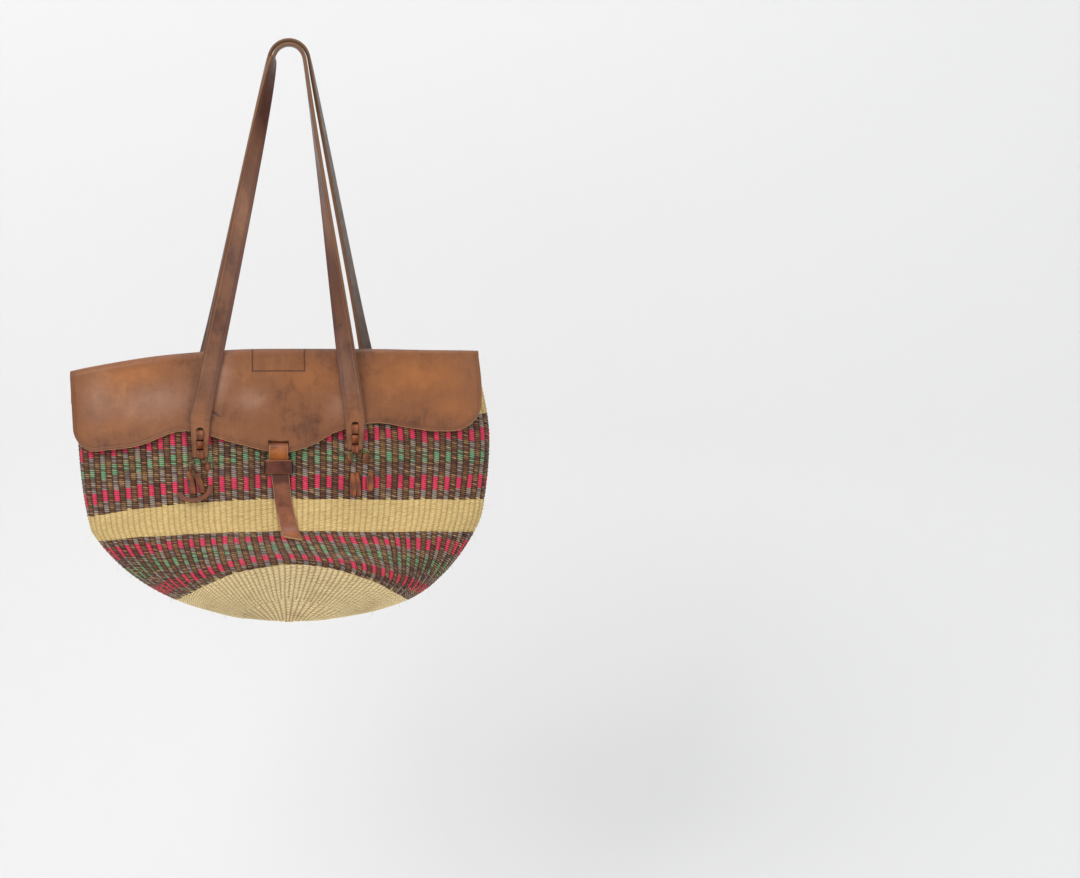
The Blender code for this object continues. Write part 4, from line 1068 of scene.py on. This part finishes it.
def tongue_keeper(finish):
    """A bowed strip over the tongue whose ends go through the weave and turn apart inside."""
    x, z = TONGUE_X, float(apron_edge_z(TONGUE_X)) - KEEPER_TOP_BELOW_EDGE - KEEPER_HEIGHT / 2
    out = TONGUE_THICK + 2 * GAP + KEEPER_THICK / 2
    inside = WALL + GAP + KEEPER_THICK / 2
    half = KEEPER_HALF_SPAN
    side = [
        (half + KEEPER_TAB, inside), (half + KEEPER_TAB / 2, inside), (half + KEEPER_THICK, inside),
        (half, WALL), (half, 0), (half - GAP, -out / 2), (half - KEEPER_THICK, -out - KEEPER_BOW / 2),
    ]
    route = [(x - over, deep) for over, deep in side] + [(x, -out - KEEPER_BOW)]
    route += [(x + over, deep) for over, deep in reversed(side)]
    knots = np.array([off_weave(place, z, -deep, False) for place, deep in route])
    curve = smooth_curve(knots, np.linspace(0, len(knots) - 1, 200))
    curve[:, 2] += KEEPER_SAG * np.cos((curve[:, 0] - x) / half * 1.4)
    path, _ = resample(curve, curve[:, :1], 0.0006)

    def relief(w, length, grid, face):
        wrinkle = 0.00010 * np.sin(grid[..., 0] * 900 + w * 400)
        lip = bell(w, KEEPER_HEIGHT / 2 - 0.0008, 0.0006)
        # Painted shade darkens the keeper's ends, where they turn into the weave
        wear_and_shade = 0.05 * np.sin(grid[..., 0] * 260) - 0.14 * (np.abs(grid[..., 0] - x) > half * 0.8) + 0.5 * lip
        return np.where(face, wrinkle, 0), {"wear_and_shade": wear_and_shade}

    piece = strip("keeper_leather", path, np.tile((0.0, 0.0, 1.0), (len(path), 1)), KEEPER_HEIGHT,
                  KEEPER_THICK, 24, finish, "basket", relief)
    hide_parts("tongue_keeper")


# Straps, in the solids' own routes

def over_flap(rear):
    return flap_room(rear) + HIDE + GAP + STRAP_THICK / 2


def strap_stand(x, z, rear):
    """Distance off the weave of the middle of a strap, which steps down past the flap and its bend."""
    on_weave = GAP + STRAP_THICK / 2
    edge_z = back_leaf_edge_z if rear else apron_edge_z
    edge = min(FLEX_Z, *(float(edge_z(x + side * STRAP_WIDTH / 2)) for side in (-1, 0, 1)))
    step = np.clip((edge - STRAP_THICK / 2 - z) / (4 * STRAP_THICK), 0, 1)
    eased = step * step * (3 - 2 * step)
    return over_flap(rear) * (1 - eased) + on_weave * eased


def strap_arch(rear):
    radius = HOOK_ARCH_RADIUS + STRAP_THICK / 2
    if rear:
        radius += STRAP_THICK + STRAP_STACK_GAP
    return radius, -HOOK_ARCH_RADIUS


def weave_outward(x, z, rear):
    """The level direction off the weave at x and z, and away from the mid plane."""
    run, rise, _ = weave_across(x, z, rear).T
    outward = 1 if rear else -1
    return unit(np.stack([-outward * rise, outward * run, 0 * run], axis=1))


LEG_POINTS, FOOT_POINTS = 180, 60


def leg(foot_x, end_z, power, rear):
    """One leg from the hook to its laced end. Down to the bend it leans out to its foot, swings from over
    the hook to against the bag, and turns a quarter turn, sooner or later by a power; below, it follows
    the weave and narrows."""
    radius, centre = strap_arch(rear)
    side, outward = (1 if foot_x > 0 else -1), (1 if rear else -1)
    shift = outward * STRAP_STACK_SHIFT
    lean = math.atan2(abs(foot_x) - radius, centre - FLEX_Z)
    start_x, start_z = side * radius * math.cos(lean), centre + radius * math.sin(lean)
    flap_z = float(flap_top_z(foot_x))
    share = np.linspace(0, 1, LEG_POINTS + 1)[1:]
    x = start_x + (foot_x - start_x) * share
    z = start_z + (FLEX_Z + GAP - start_z) * share
    early = EARLY_TURN_SHARE if rear else 0
    turn = math.pi / 2 * (early * share**0.6 + (1 - early) * share**power)
    fold_share = np.minimum(1, (start_z - z) / (start_z - flap_z))
    low = np.minimum(z, flap_z)
    stand_off = strap_stand(foot_x, low, rear) + STRAP_WIDTH / 2 * np.cos(turn)
    rest_y = off_weave(x, low, stand_off, rear)[:, 1]
    points = np.stack([x, shift + (rest_y - shift) * fold_share, z], axis=1)
    away = np.array((1.0, 0, 0)) * side
    facings = np.sin(turn)[:, None] * weave_outward(x, low, rear) - np.cos(turn)[:, None] * away
    foot, low = np.full(FOOT_POINTS, foot_x), np.linspace(FLEX_Z - GAP, end_z, FOOT_POINTS)
    narrowing = (1 - STRAP_END_TAPER_SHARE) * (FLEX_Z - low) / (FLEX_Z - end_z)
    points = np.vstack([points, off_weave(foot, low, strap_stand(foot_x, low, rear), rear)])
    widths = STRAP_WIDTH * np.concatenate([np.ones(LEG_POINTS), 1 - narrowing])
    return points, np.vstack([facings, weave_outward(foot, low, rear)]), widths, lean


# Lines pressed along a strap: place across and half width; its holes reach across by this much
STRAP_LINES = (0.0062, 0.00042)
HOLE_HALF_WIDTH = 0.0033
HOLE_DEPTH = 0.0024
STRAP_GROOVE = 0.00022
# Of the stretch near each end that is laid finer, and of the points there that aren't smoothed
STRAP_FINE, UNSMOOTHED = 0.046, 124


def strap(name, feet_x, powers, rear, finish):
    """A carrying strap from one laced end over the hook to the other, in one strip of leather, with two
    pressed lines along it, creases where it bends, and holes for the thongs."""
    radius, centre = strap_arch(rear)
    (left, left_face, left_wide, left_lean), (right, right_face, right_wide, right_lean) = (
        leg(foot_x, end_z, power, rear) for foot_x, end_z, power in zip(feet_x, STRAP_ENDS_Z, powers))
    turns = np.linspace(-math.pi / 2 + left_lean, math.pi / 2 - right_lean, 90)
    shift = STRAP_STACK_SHIFT if rear else -STRAP_STACK_SHIFT
    upward = np.stack([np.sin(turns), 0 * turns, np.cos(turns)], axis=1)
    points = np.vstack([left[::-1], radius * upward + (0, shift, centre), right])
    facings = np.vstack([left_face[::-1], -upward, right_face])
    widths = np.concatenate([left_wide[::-1], np.full(len(turns), STRAP_WIDTH), right_wide])
    points, values = resample(points, np.hstack([facings, widths[:, None]]), 0.0016, STRAP_FINE, 0.0004)
    smooth = np.array((1, 2, 3, 2, 1)) / 9
    middle = slice(UNSMOOTHED, len(points) - UNSMOOTHED)
    for _ in range(6):
        even = np.stack([np.convolve(column, smooth, "same") for column in points.T], axis=1)
        points[middle] = even[middle]
    across = np.cross(unit(np.gradient(points, axis=0)), values[:, :3])
    holes = [(foot_x, height) for foot_x, heights in zip(feet_x, HOLES_Z) for height in heights[:3]]

    def relief(w, length, grid, face):
        x, z = grid[..., 0], grid[..., 2]
        line = bell(np.abs(w), *STRAP_LINES)
        away = np.minimum(length, length.max() - length)
        puckers = 0.00012 * np.sin(length * 900 + w * 260) * bell(away, 0.045, 0.02)
        pit = np.zeros_like(w)
        for hole_x, hole_z in holes:
            near = np.hypot((x - hole_x) / HOLE_HALF_WIDTH, (z - hole_z) / (HOLE_HEIGHT / 2 + GAP))
            pit = np.maximum(pit, np.clip((1.10 - near) / 0.2, 0, 1) * (z < -0.36))
        ends = np.clip((0.075 - away) / 0.045, 0, 1)
        half_wide = np.abs(w).max(axis=1, keepdims=True)
        # Painted shadow along the strap's edges, heavier along one of them
        turned = bell(w, 0.0004 - half_wide, 0.0012) + 0.6 * bell(w, half_wide, 0.0008)
        burnished = bell(w, 0.0030 - half_wide, 0.0010)
        # Darker near the hook, and along the middle of the right leg
        dark_stretches = np.clip(1 + (z + 0.045) / 0.11, 0, 1) * (z > -0.16)
        dark_stretches = np.maximum(dark_stretches, 0.75 * bell(z, -0.235, 0.055) * (x > 0))
        wear_and_shade = 0.04 * np.sin(length * 31) + 0.05 * np.sin(length * 83 + w * 90) - 0.10 * line
        made = {"pit": np.where(face, pit, 0), "wear_and_shade": wear_and_shade + 0.10 * burnished,
                "dark_stretches_and_edge_shadow": np.maximum(dark_stretches, turned), "warmth_and_highlight": np.maximum(ends, 0.5 * burnished),
                # Darker and purplish towards one side of the strap, short of its ends
                "tint_and_sheen": np.clip((w - 0.0045) / 0.004, 0, 1) * (1 - ends)}
        groove = STRAP_GROOVE * line
        return np.where(face, puckers - groove - HOLE_DEPTH * pit, -0.3 * groove), made

    piece = strip(f"{name}_leather", points, across, values[:, 3], STRAP_THICK, 44, finish, None, relief,
                  end_round=0.002)
    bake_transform(piece)
    face = "rear" if rear else "front"
    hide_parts(name, f"{face}_left_strap_end", f"{face}_right_strap_end")


# Lacing

# Where two stitches share a hole they keep this far apart; a stitch's crown stands this far off
STITCH_APART = 0.0009
STITCH_CROWN = 0.0011
SLIM_SHARE = 0.76
# The front right lacing's left tail is split: its second half lies aside, and is this much narrower
SPLIT_HOLE, SPLIT_TIP, SPLIT_SHARE = 0.0045, (0.0060, 0.0004), 0.70


def lace(name, foot_x, rear, finish):
    """One thong. From its left tail it makes a stitch beside the strap end, climbs inside, comes down in
    stitches over the strap end, and makes one more beside it before its right tail. Its top stitch is a
    strip of its own, that starts in the strap's top hole."""
    end = int(foot_x > 0)
    half = THONG_THICK / 2
    inside = -(WALL + GAP + half)
    deeper = inside - THONG_THICK - 2 * GAP
    floor = GAP + half
    reach = THONG_THICK * 0.9
    full, slim = THONG_WIDTH, SLIM_SHARE * THONG_WIDTH
    top, second, third, fourth = HOLES_Z[end]
    left_tail, right_tail = TAILS[end]

    def over(z):
        return float(strap_stand(foot_x, z, rear)) + STRAP_THICK / 2 + GAP + half

    def tail(place, curl):
        x, z, tip_x, tip_z = place
        drop = z - tip_z
        points = [(tip_x, floor + curl, tip_z, full * 0.86),
                  (tip_x * 0.8 + x * 0.2, floor + curl, tip_z + drop / 4, full),
                  (tip_x * 0.4 + x * 0.6, floor + curl * 0.8, tip_z + drop * 0.6, full)]
        dive = ((floor + half, -2), (floor - reach / 2, -1 / 4), (-WALL / 2, 0),
                (inside + reach / 2, 1 / 4), (inside, 1))
        points += [(x, depth, z + rise * reach, slim) for depth, rise in dive]
        return [(foot_x + x, *rest) for x, *rest in points]

    def stitch(high, low):
        middle = (high + low) / 2
        points = ((over(high) - reach, high - reach / 5), (over(high) + 0.0002, high - reach),
                  (over(middle) + STITCH_CROWN, middle), (over(low) + 0.0002, low + reach),
                  (over(low) - reach, low + reach / 5))
        return [(foot_x, *point, full) for point in points]

    def beside(x, low, high, after):
        rise = ((-WALL / 2, low), (floor - reach / 2, low + reach / 4), (floor, low + reach),
                (floor + STITCH_APART, (high + low) / 2), (floor, high - reach),
                (floor - reach / 2, high - reach / 4), (-WALL / 2, high), *after)
        return [(foot_x + x, *point, slim) for point in rise]

    def through(z, side):
        return [(foot_x, -WALL / 2, z + side * half, full),
                (foot_x, inside + reach / 2, z + side * half / 2, full)]

    (left_x, left_low, left_high), (right_x, right_low, right_high) = SIDE_STITCHES[end]
    apart = STITCH_APART
    local = tail(left_tail, 0.0008)
    local += [(foot_x + left_x, inside, left_low - reach, slim)]
    local += beside(left_x, left_low, left_high, [(inside, left_high + reach)])
    local += [(foot_x, deeper, third, full), (foot_x, inside, second, full)]
    local += through(second - apart, -1)[::-1] + stitch(second - apart, third + apart)
    local += through(third + apart, 1)
    local += through(third - apart, -1)[::-1] + stitch(third - apart, fourth) + through(fourth, 1)
    local += [(foot_x, inside, fourth - reach, full), (foot_x + right_x, inside, right_low + reach, slim)]
    local += beside(right_x, right_low, right_high, [(deeper + reach / 2, right_high - reach / 4),
                                                     (deeper, right_high - reach)])
    local += [(foot_x + right_tail[0], deeper, right_tail[1] + 3 * reach, slim)]
    local += tail(right_tail, 0.0022 if end else 0.0010)[::-1]
    above = [(foot_x, over(top) - half - 0.0022, top, full)] + stitch(top - apart / 2, second + apart)
    routes = [(f"{name}_thong", local, 1), (f"{name}_top_stitch", above + through(second + apart, 1), 1)]
    if end and not rear:
        x, z, tip_x, tip_z = left_tail
        split = (x + SPLIT_HOLE, z, tip_x + SPLIT_TIP[0], tip_z + SPLIT_TIP[1])
        routes.append((f"{name}_split_tail", tail(split, 0.0004), SPLIT_SHARE))
    weave_y = weave_depth(foot_x, fourth, rear)

    def relief(w, length, grid, face):
        wear_and_shade = 0.08 * np.sin(length * 400) + 0.10 * np.sin(w * 700 + length * 90)
        # Painted shade on the stretches that run inside the weave
        hidden = np.abs(grid[..., 1]) < weave_y - WALL / 2
        ridge = 0.00010 * np.sin(length * 1500 + w * 500) + 0.00025 * (1 - (w / THONG_WIDTH * 2) ** 2)
        return np.where(face, ridge, 0), {"wear_and_shade": wear_and_shade - 0.25 * hidden}

    for piece_name, route, share in routes:
        x, depth, z, width = smooth_curve(route, np.linspace(0, len(route) - 1, 9 * len(route))).T
        values = np.hstack([width[:, None] * share, weave_across(x, z, rear)])
        path, values = resample(off_weave(x, z, depth, rear), values, 0.0005)
        piece = strip(piece_name, path, values[:, 1:], values[:, 0], THONG_THICK, 12, finish, "basket",
                      relief, end_round=0.0007)
        if route is local:
            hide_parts(name)


def lace_loop(name, foot_x, finish):
    """A slack loop of thong below the front left strap end, both its ends tucked into the weave."""
    left_x, left_z = foot_x - LOOP_LEFT, LOOP_TOP_Z - THONG_WIDTH
    right_x, right_z = foot_x + LOOP_RIGHT, LOOP_TOP_Z
    floor, over_tails = GAP + THONG_THICK / 2, 2 * (THONG_THICK + GAP) + 0.0012
    turns = np.linspace(math.pi, 2 * math.pi, 90)
    middle, radius = (left_x + right_x) / 2, (right_x - left_x) / 2
    x = middle + radius * np.cos(turns)
    z = left_z + (right_z - left_z) * (turns - math.pi) / math.pi + LOOP_DEPTH * np.sin(turns)
    depth = floor - over_tails * np.sin(turns)
    tuck = np.linspace(-WALL - GAP, 0, 8)
    x = np.concatenate([np.full(8, left_x), x, np.full(8, right_x)])
    z = np.concatenate([np.full(8, left_z), z, np.full(8, right_z)])
    depth = np.concatenate([tuck, depth, tuck[::-1]])
    flat = np.concatenate([np.full(8, turns[0]), turns, np.full(8, turns[-1])])
    across = np.stack([np.cos(flat), LOOP_LEAN * np.sin(flat), np.sin(flat)], axis=1)
    path, across = resample(off_weave(x, z, depth, False), across, 0.0006)
    piece = strip("front_left_loop_thong", path, across, 0.85 * THONG_WIDTH, THONG_THICK, 12, finish,
                  "basket")
    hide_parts(name)


# Thread and loose fibres

def back_stitches():
    """Waxed thread that sews the back leaf to the weave: a row of short stitches a little above its edge."""
    x = np.arange(FLAP_LEFT_X + 0.016, FLAP_RIGHT_X - 0.012, 0.0072)
    z = back_leaf_edge_z(x) + 0.0055
    stand_off = HIDE + flap_room(True) + 0.0002
    share = np.linspace(-1, 1, 7)
    sides = np.arange(6) / 6 * 2 * math.pi
    run = x[:, None] + share * 0.0022
    rise = np.interp(run, x, z)
    dip = 0.0012 * share**4
    y = weave_depth(run, rise, True, stand_off, FLAP_END_MARGIN) - dip
    thin = 0.00045 * np.sqrt(np.maximum(0.12, 1 - share**6))
    path = np.stack([run, y, rise], axis=-1)
    ring = np.stack([0 * sides, np.cos(sides), np.sin(sides)], axis=-1)
    grid = path[:, :, None] + ring[None, None] * thin[None, :, None, None]
    finish = cord_finish("waxed_thread", rgb(206, 178, 130), rgb(128, 94, 58))
    return strands("back_leaf_stitches", grid, finish, np.zeros(grid.shape[:3]))


def strands(name, grid, finish, tint):
    """Many short closed tubes in one mesh: the grid is strand, place along it, side, and xyz."""
    count, steps, sides = grid.shape[:3]
    place = np.arange(count * steps * sides).reshape(count, steps, sides)
    after = np.roll(place, -1, axis=2)
    quads = np.stack([place[:, :-1], after[:, :-1], after[:, 1:], place[:, 1:]], axis=-1).reshape(-1, 4)
    ends = [place[:, 0, ::-1].reshape(count, sides), place[:, -1].reshape(count, sides)]
    points = grid.reshape(-1, 3)
    outward = (grid - grid.mean(axis=2, keepdims=True)).reshape(-1, 3)
    numbers = np.arange(len(points))
    corners = [quads] + ends
    if not facing(points, numbers, quads, outward):
        corners = [part[:, ::-1] for part in corners]
    along = np.tile(np.linspace(0, 0.01, steps)[None, :, None], (count, 1, sides))
    around = np.tile(np.arange(sides) / sides, (count, steps, 1))
    uv = np.stack([around, along], axis=-1).reshape(-1, 2)
    return lay_mesh(name, points, corners, (numbers, uv), finish, "basket", {"tint": tint.ravel()})


def fibre_finish():
    f = Finish("loose_fibres")
    tint = f.value_of("tint")
    colour = f.ramp(tint, ((0.0, rgb(214, 188, 132)), (0.30, rgb(150, 112, 70)), (0.62, rgb(112, 160, 112)),
                           (0.85, rgb(214, 80, 100))), constant=True)
    tone = f.noise(f.place(), 300.0, 2.0)
    colour = f.mix(f.band(tone, 0.3, 0.7, 0, 0.35), colour, rgb(90, 66, 44))
    return f.done(colour, 0.6, specular=0.3, sheen=0.1)


def hair(roots, away, length, radius, seed):
    """Curved hairs: each starts at its root, heads away, and bends towards a random side and down as the
    square of its length."""
    own = np.random.default_rng(seed)
    count = len(roots)
    side = unit(own.normal(size=(count, 3)))
    heading = unit(away + 0.9 * side)
    bend = 0.6 * unit(own.normal(size=(count, 3))) + np.array((0, 0, -0.45))
    share = np.linspace(0, 1, 7)[None, :, None]
    size = length[:, None, None]
    path = roots[:, None] + size * (heading[:, None] * share + bend[:, None] * share**2 * 0.7)
    sides = np.arange(3) / 3 * 2 * math.pi
    first = unit(np.cross(heading, np.array((0.3, 0.2, 0.9))))
    second = np.cross(heading, first)
    ring = np.cos(sides)[None, :, None] * first[:, None] + np.sin(sides)[None, :, None] * second[:, None]
    thin = radius[:, None, None, None] * (1 - 0.6 * share[..., None])
    return path[:, :, None] + ring[:, None] * thin


def fibres():
    """Ends of sisal that stand off the weave here and there, and thick tufts round the laced holes."""
    own = np.random.default_rng(11)
    count = 520
    rings = weave_rings(np.linspace(0.6, 6.0, 60), 160)
    normals = grid_normals(rings, True)
    normals = normals * np.sign((normals * (rings - rings.mean(axis=(0, 1)))).sum())
    row, column = own.integers(0, 60, count), own.integers(0, 160, count)
    roots, away = rings[row, column] - 0.0004 * normals[row, column], normals[row, column]
    covered = (np.abs(roots[:, 1]) < 0.001) | (roots[:, 2] > np.where(roots[:, 1] < 0, apron_edge_z(
        np.clip(roots[:, 0], FLAP_LEFT_X, FLAP_RIGHT_X)) - 0.004, back_leaf_edge_z(roots[:, 0]) - 0.004))
    roots, away = roots[~covered], away[~covered]
    lengths = own.uniform(0.002, 0.0065, len(roots)) * own.choice((1, 1, 1.7), len(roots))
    grids = [hair(roots, away, lengths, own.uniform(0.00007, 0.00012, len(roots)), 12)]
    tints = [own.choice((0.1, 0.1, 0.4, 0.4, 0.7, 0.9), len(roots))]
    for rear, feet_x in ((False, FRONT_FEET_X), (True, REAR_FEET_X)):
        outward = 1 if rear else -1
        for end, foot_x in enumerate(feet_x):
            for side, (stitch_x, low, high) in zip((-1, 1), SIDE_STITCHES[end]):
                number = 26
                x = foot_x + stitch_x + own.uniform(-0.003, 0.003, number)
                z = own.uniform(high - 0.001, high + 0.005, number)
                y = outward * weave_depth(x, z, rear)
                away = np.stack([side * own.uniform(-0.3, 0.6, number), np.full(number, outward * 0.6),
                                 own.uniform(-0.5, 0.7, number)], axis=1)
                grids.append(hair(np.stack([x, y, z], axis=1), unit(away), own.uniform(0.003, 0.009, number),
                                  own.uniform(0.00014, 0.00030, number), 20 + side + rear * 5 + end * 11))
                tints.append(own.choice((0.1, 0.1, 0.4, 0.7), number))
    grid, tint = np.concatenate(grids), np.concatenate(tints)
    return strands("loose_fibres", grid, fibre_finish(), np.broadcast_to(tint[:, None, None], grid.shape[:3]))


# Stage

FLOOR_Z = -0.98
CAMERA_PLACE = (-0.018, -5.03, -0.395)
CAMERA_TURN = 3.08
AIM = (0, 0, -0.35)


def stage_finish(name, colour):
    """Plain pale paint. Its back is clear, so that the wall doesn't hide the basket from behind."""
    f = Finish(name)
    material = f.done((*colour, 1), 0.9, specular=0.2)
    nodes, links = material.node_tree.nodes, material.node_tree.links
    surface = next(node for node in nodes if node.type == "OUTPUT_MATERIAL").inputs["Surface"]
    paint = surface.links[0].from_socket
    mix = nodes.new("ShaderNodeMixShader")
    links.new(nodes.new("ShaderNodeNewGeometry").outputs["Backfacing"], mix.inputs["Fac"])
    links.new(paint, mix.inputs[1])
    links.new(nodes.new("ShaderNodeBsdfTransparent").outputs[0], mix.inputs[2])
    links.new(mix.outputs[0], surface)
    return material


def stage():
    """A pale floor that curves up into a wall behind."""
    bend = np.linspace(0, math.pi / 2, 24)
    profile_y = np.concatenate([np.linspace(-3.2, 0.10, 6), 0.10 + 0.6 * np.sin(bend), np.full(4, 0.70)])
    profile_z = np.concatenate([np.full(6, FLOOR_Z), FLOOR_Z + 0.6 * (1 - np.cos(bend)),
                                np.linspace(-0.2, 2.2, 4)])
    x = np.linspace(-3.5, 3.5, 8)
    grid = np.stack(np.broadcast_arrays(x[None], profile_y[:, None], profile_z[:, None]), axis=-1)
    uv = np.zeros(grid.shape[:2] + (2,))
    place = np.arange(grid.shape[0] * grid.shape[1]).reshape(grid.shape[:2])
    quads = np.stack([place[:-1, :-1], place[:-1, 1:], place[1:, 1:], place[1:, :-1]], axis=-1).reshape(-1, 4)
    floor = lay_mesh("pale_floor", grid.reshape(-1, 3), [quads], (place.ravel(), uv.reshape(-1, 2)),
                     stage_finish("pale_wall", (0.80, 0.80, 0.80)), None, {})


def lamp(name, place, size, power, colour=(1, 1, 1)):
    data = bpy.data.lights.new(name, "AREA")
    data.shape, data.size, data.energy, data.color = "SQUARE", size, power, colour
    made = bpy.data.objects.new(name, data)
    bpy.context.scene.collection.objects.link(made)
    made.location = place
    direction = np.array(AIM, dtype=float) - place
    made.rotation_euler = (math.atan2(math.hypot(direction[0], direction[1]), -direction[2]), 0,
                           math.atan2(direction[1], direction[0]) - math.pi / 2)


def camera():
    """The photograph's view: level, 5 m in front, turned right so that the basket hangs left of centre."""
    data = bpy.data.cameras.new("camera")
    data.sensor_width, data.lens = 36, 5000 / 1080 * 36
    data.sensor_fit = "HORIZONTAL"
    made = bpy.data.objects.new("camera", data)
    bpy.context.scene.collection.objects.link(made)
    made.location = CAMERA_PLACE
    made.rotation_euler = (math.pi / 2, 0, -math.radians(CAMERA_TURN))
    bpy.context.scene.camera = made


def light():
    world = bpy.data.worlds.new("soft_room")
    bpy.context.scene.world = world
    world.use_nodes = True
    world.node_tree.nodes["Background"].inputs["Color"].default_value = (0.95, 0.97, 1.0, 1)
    world.node_tree.nodes["Background"].inputs["Strength"].default_value = 0.55
    lamp("window", (-1.6, -2.2, 1.0), 1.6, 42, (1.0, 0.99, 0.97))
    lamp("fill", (2.2, -2.0, 0.1), 1.8, 16, (1.0, 0.98, 0.96))
    lamp("top", (0.0, -0.2, 1.6), 1.4, 14)


def dress():
    camera()
    weave()
    rim_braid()
    flap()
    # The straps' darkest tint is painted shadow along their edges, and darkens them near the hook and down the
    # right leg
    strap_finish = leather_finish("strap_leather", rgb(152, 105, 74), rgb(122, 80, 56), rgb(80, 47, 34),
                                  rgb(128, 88, 56), 2.0, grain=0.5, gloss=0.40, streak=0.06, contrast=0.8,
                                  tints=(("dark_stretches_and_edge_shadow", rgb(66, 30, 24), 0.72), ("warmth_and_highlight", rgb(160, 98, 54), 0.55),
                                         # The undersides' flesh-side tint is partly painted shade
                                         ("tint_and_sheen", rgb(96, 58, 54), 0.55), ("flesh_side_and_shade", rgb(72, 50, 30), 0.9)))
    # On the tongue the warm tint is a painted highlight on its bend
    tongue_finish = leather_finish("tongue_leather", rgb(166, 104, 70), rgb(136, 80, 52), rgb(86, 44, 28),
                                   rgb(186, 140, 92), 3.0, grain=0.4, gloss=0.32,
                                   tints=(("warmth_and_highlight", rgb(190, 112, 52), 0.85),))
    keeper_finish = leather_finish("keeper_leather", rgb(146, 80, 44), rgb(100, 44, 24), rgb(60, 25, 15),
                                   rgb(150, 96, 56), 4.0, grain=0.4, gloss=0.34)
    thong_finish = leather_finish("thong_leather", rgb(168, 96, 50), rgb(126, 66, 34), rgb(74, 36, 20),
                                  rgb(126, 70, 38), 5.0, grain=0.35, gloss=0.36)
    closure_tongue(tongue_finish)
    tongue_keeper(keeper_finish)
    strap("front_strap", FRONT_FEET_X, FRONT_TWIST_POWERS, False, strap_finish)
    strap("rear_strap", REAR_FEET_X, REAR_TWIST_POWERS, True, strap_finish)
    for face, feet_x in (("front", FRONT_FEET_X), ("rear", REAR_FEET_X)):
        for side, foot_x in zip(("left", "right"), feet_x):
            lace(f"{face}_{side}_lace", foot_x, face == "rear", thong_finish)
    lace_loop("front_left_lace_loop", FRONT_FEET_X[0], thong_finish)
    back_stitches()
    fibres()
    stage()
    light()
    bpy.context.scene.view_settings.view_transform = "Standard"


dress()
bpy.context.view_layer.update()
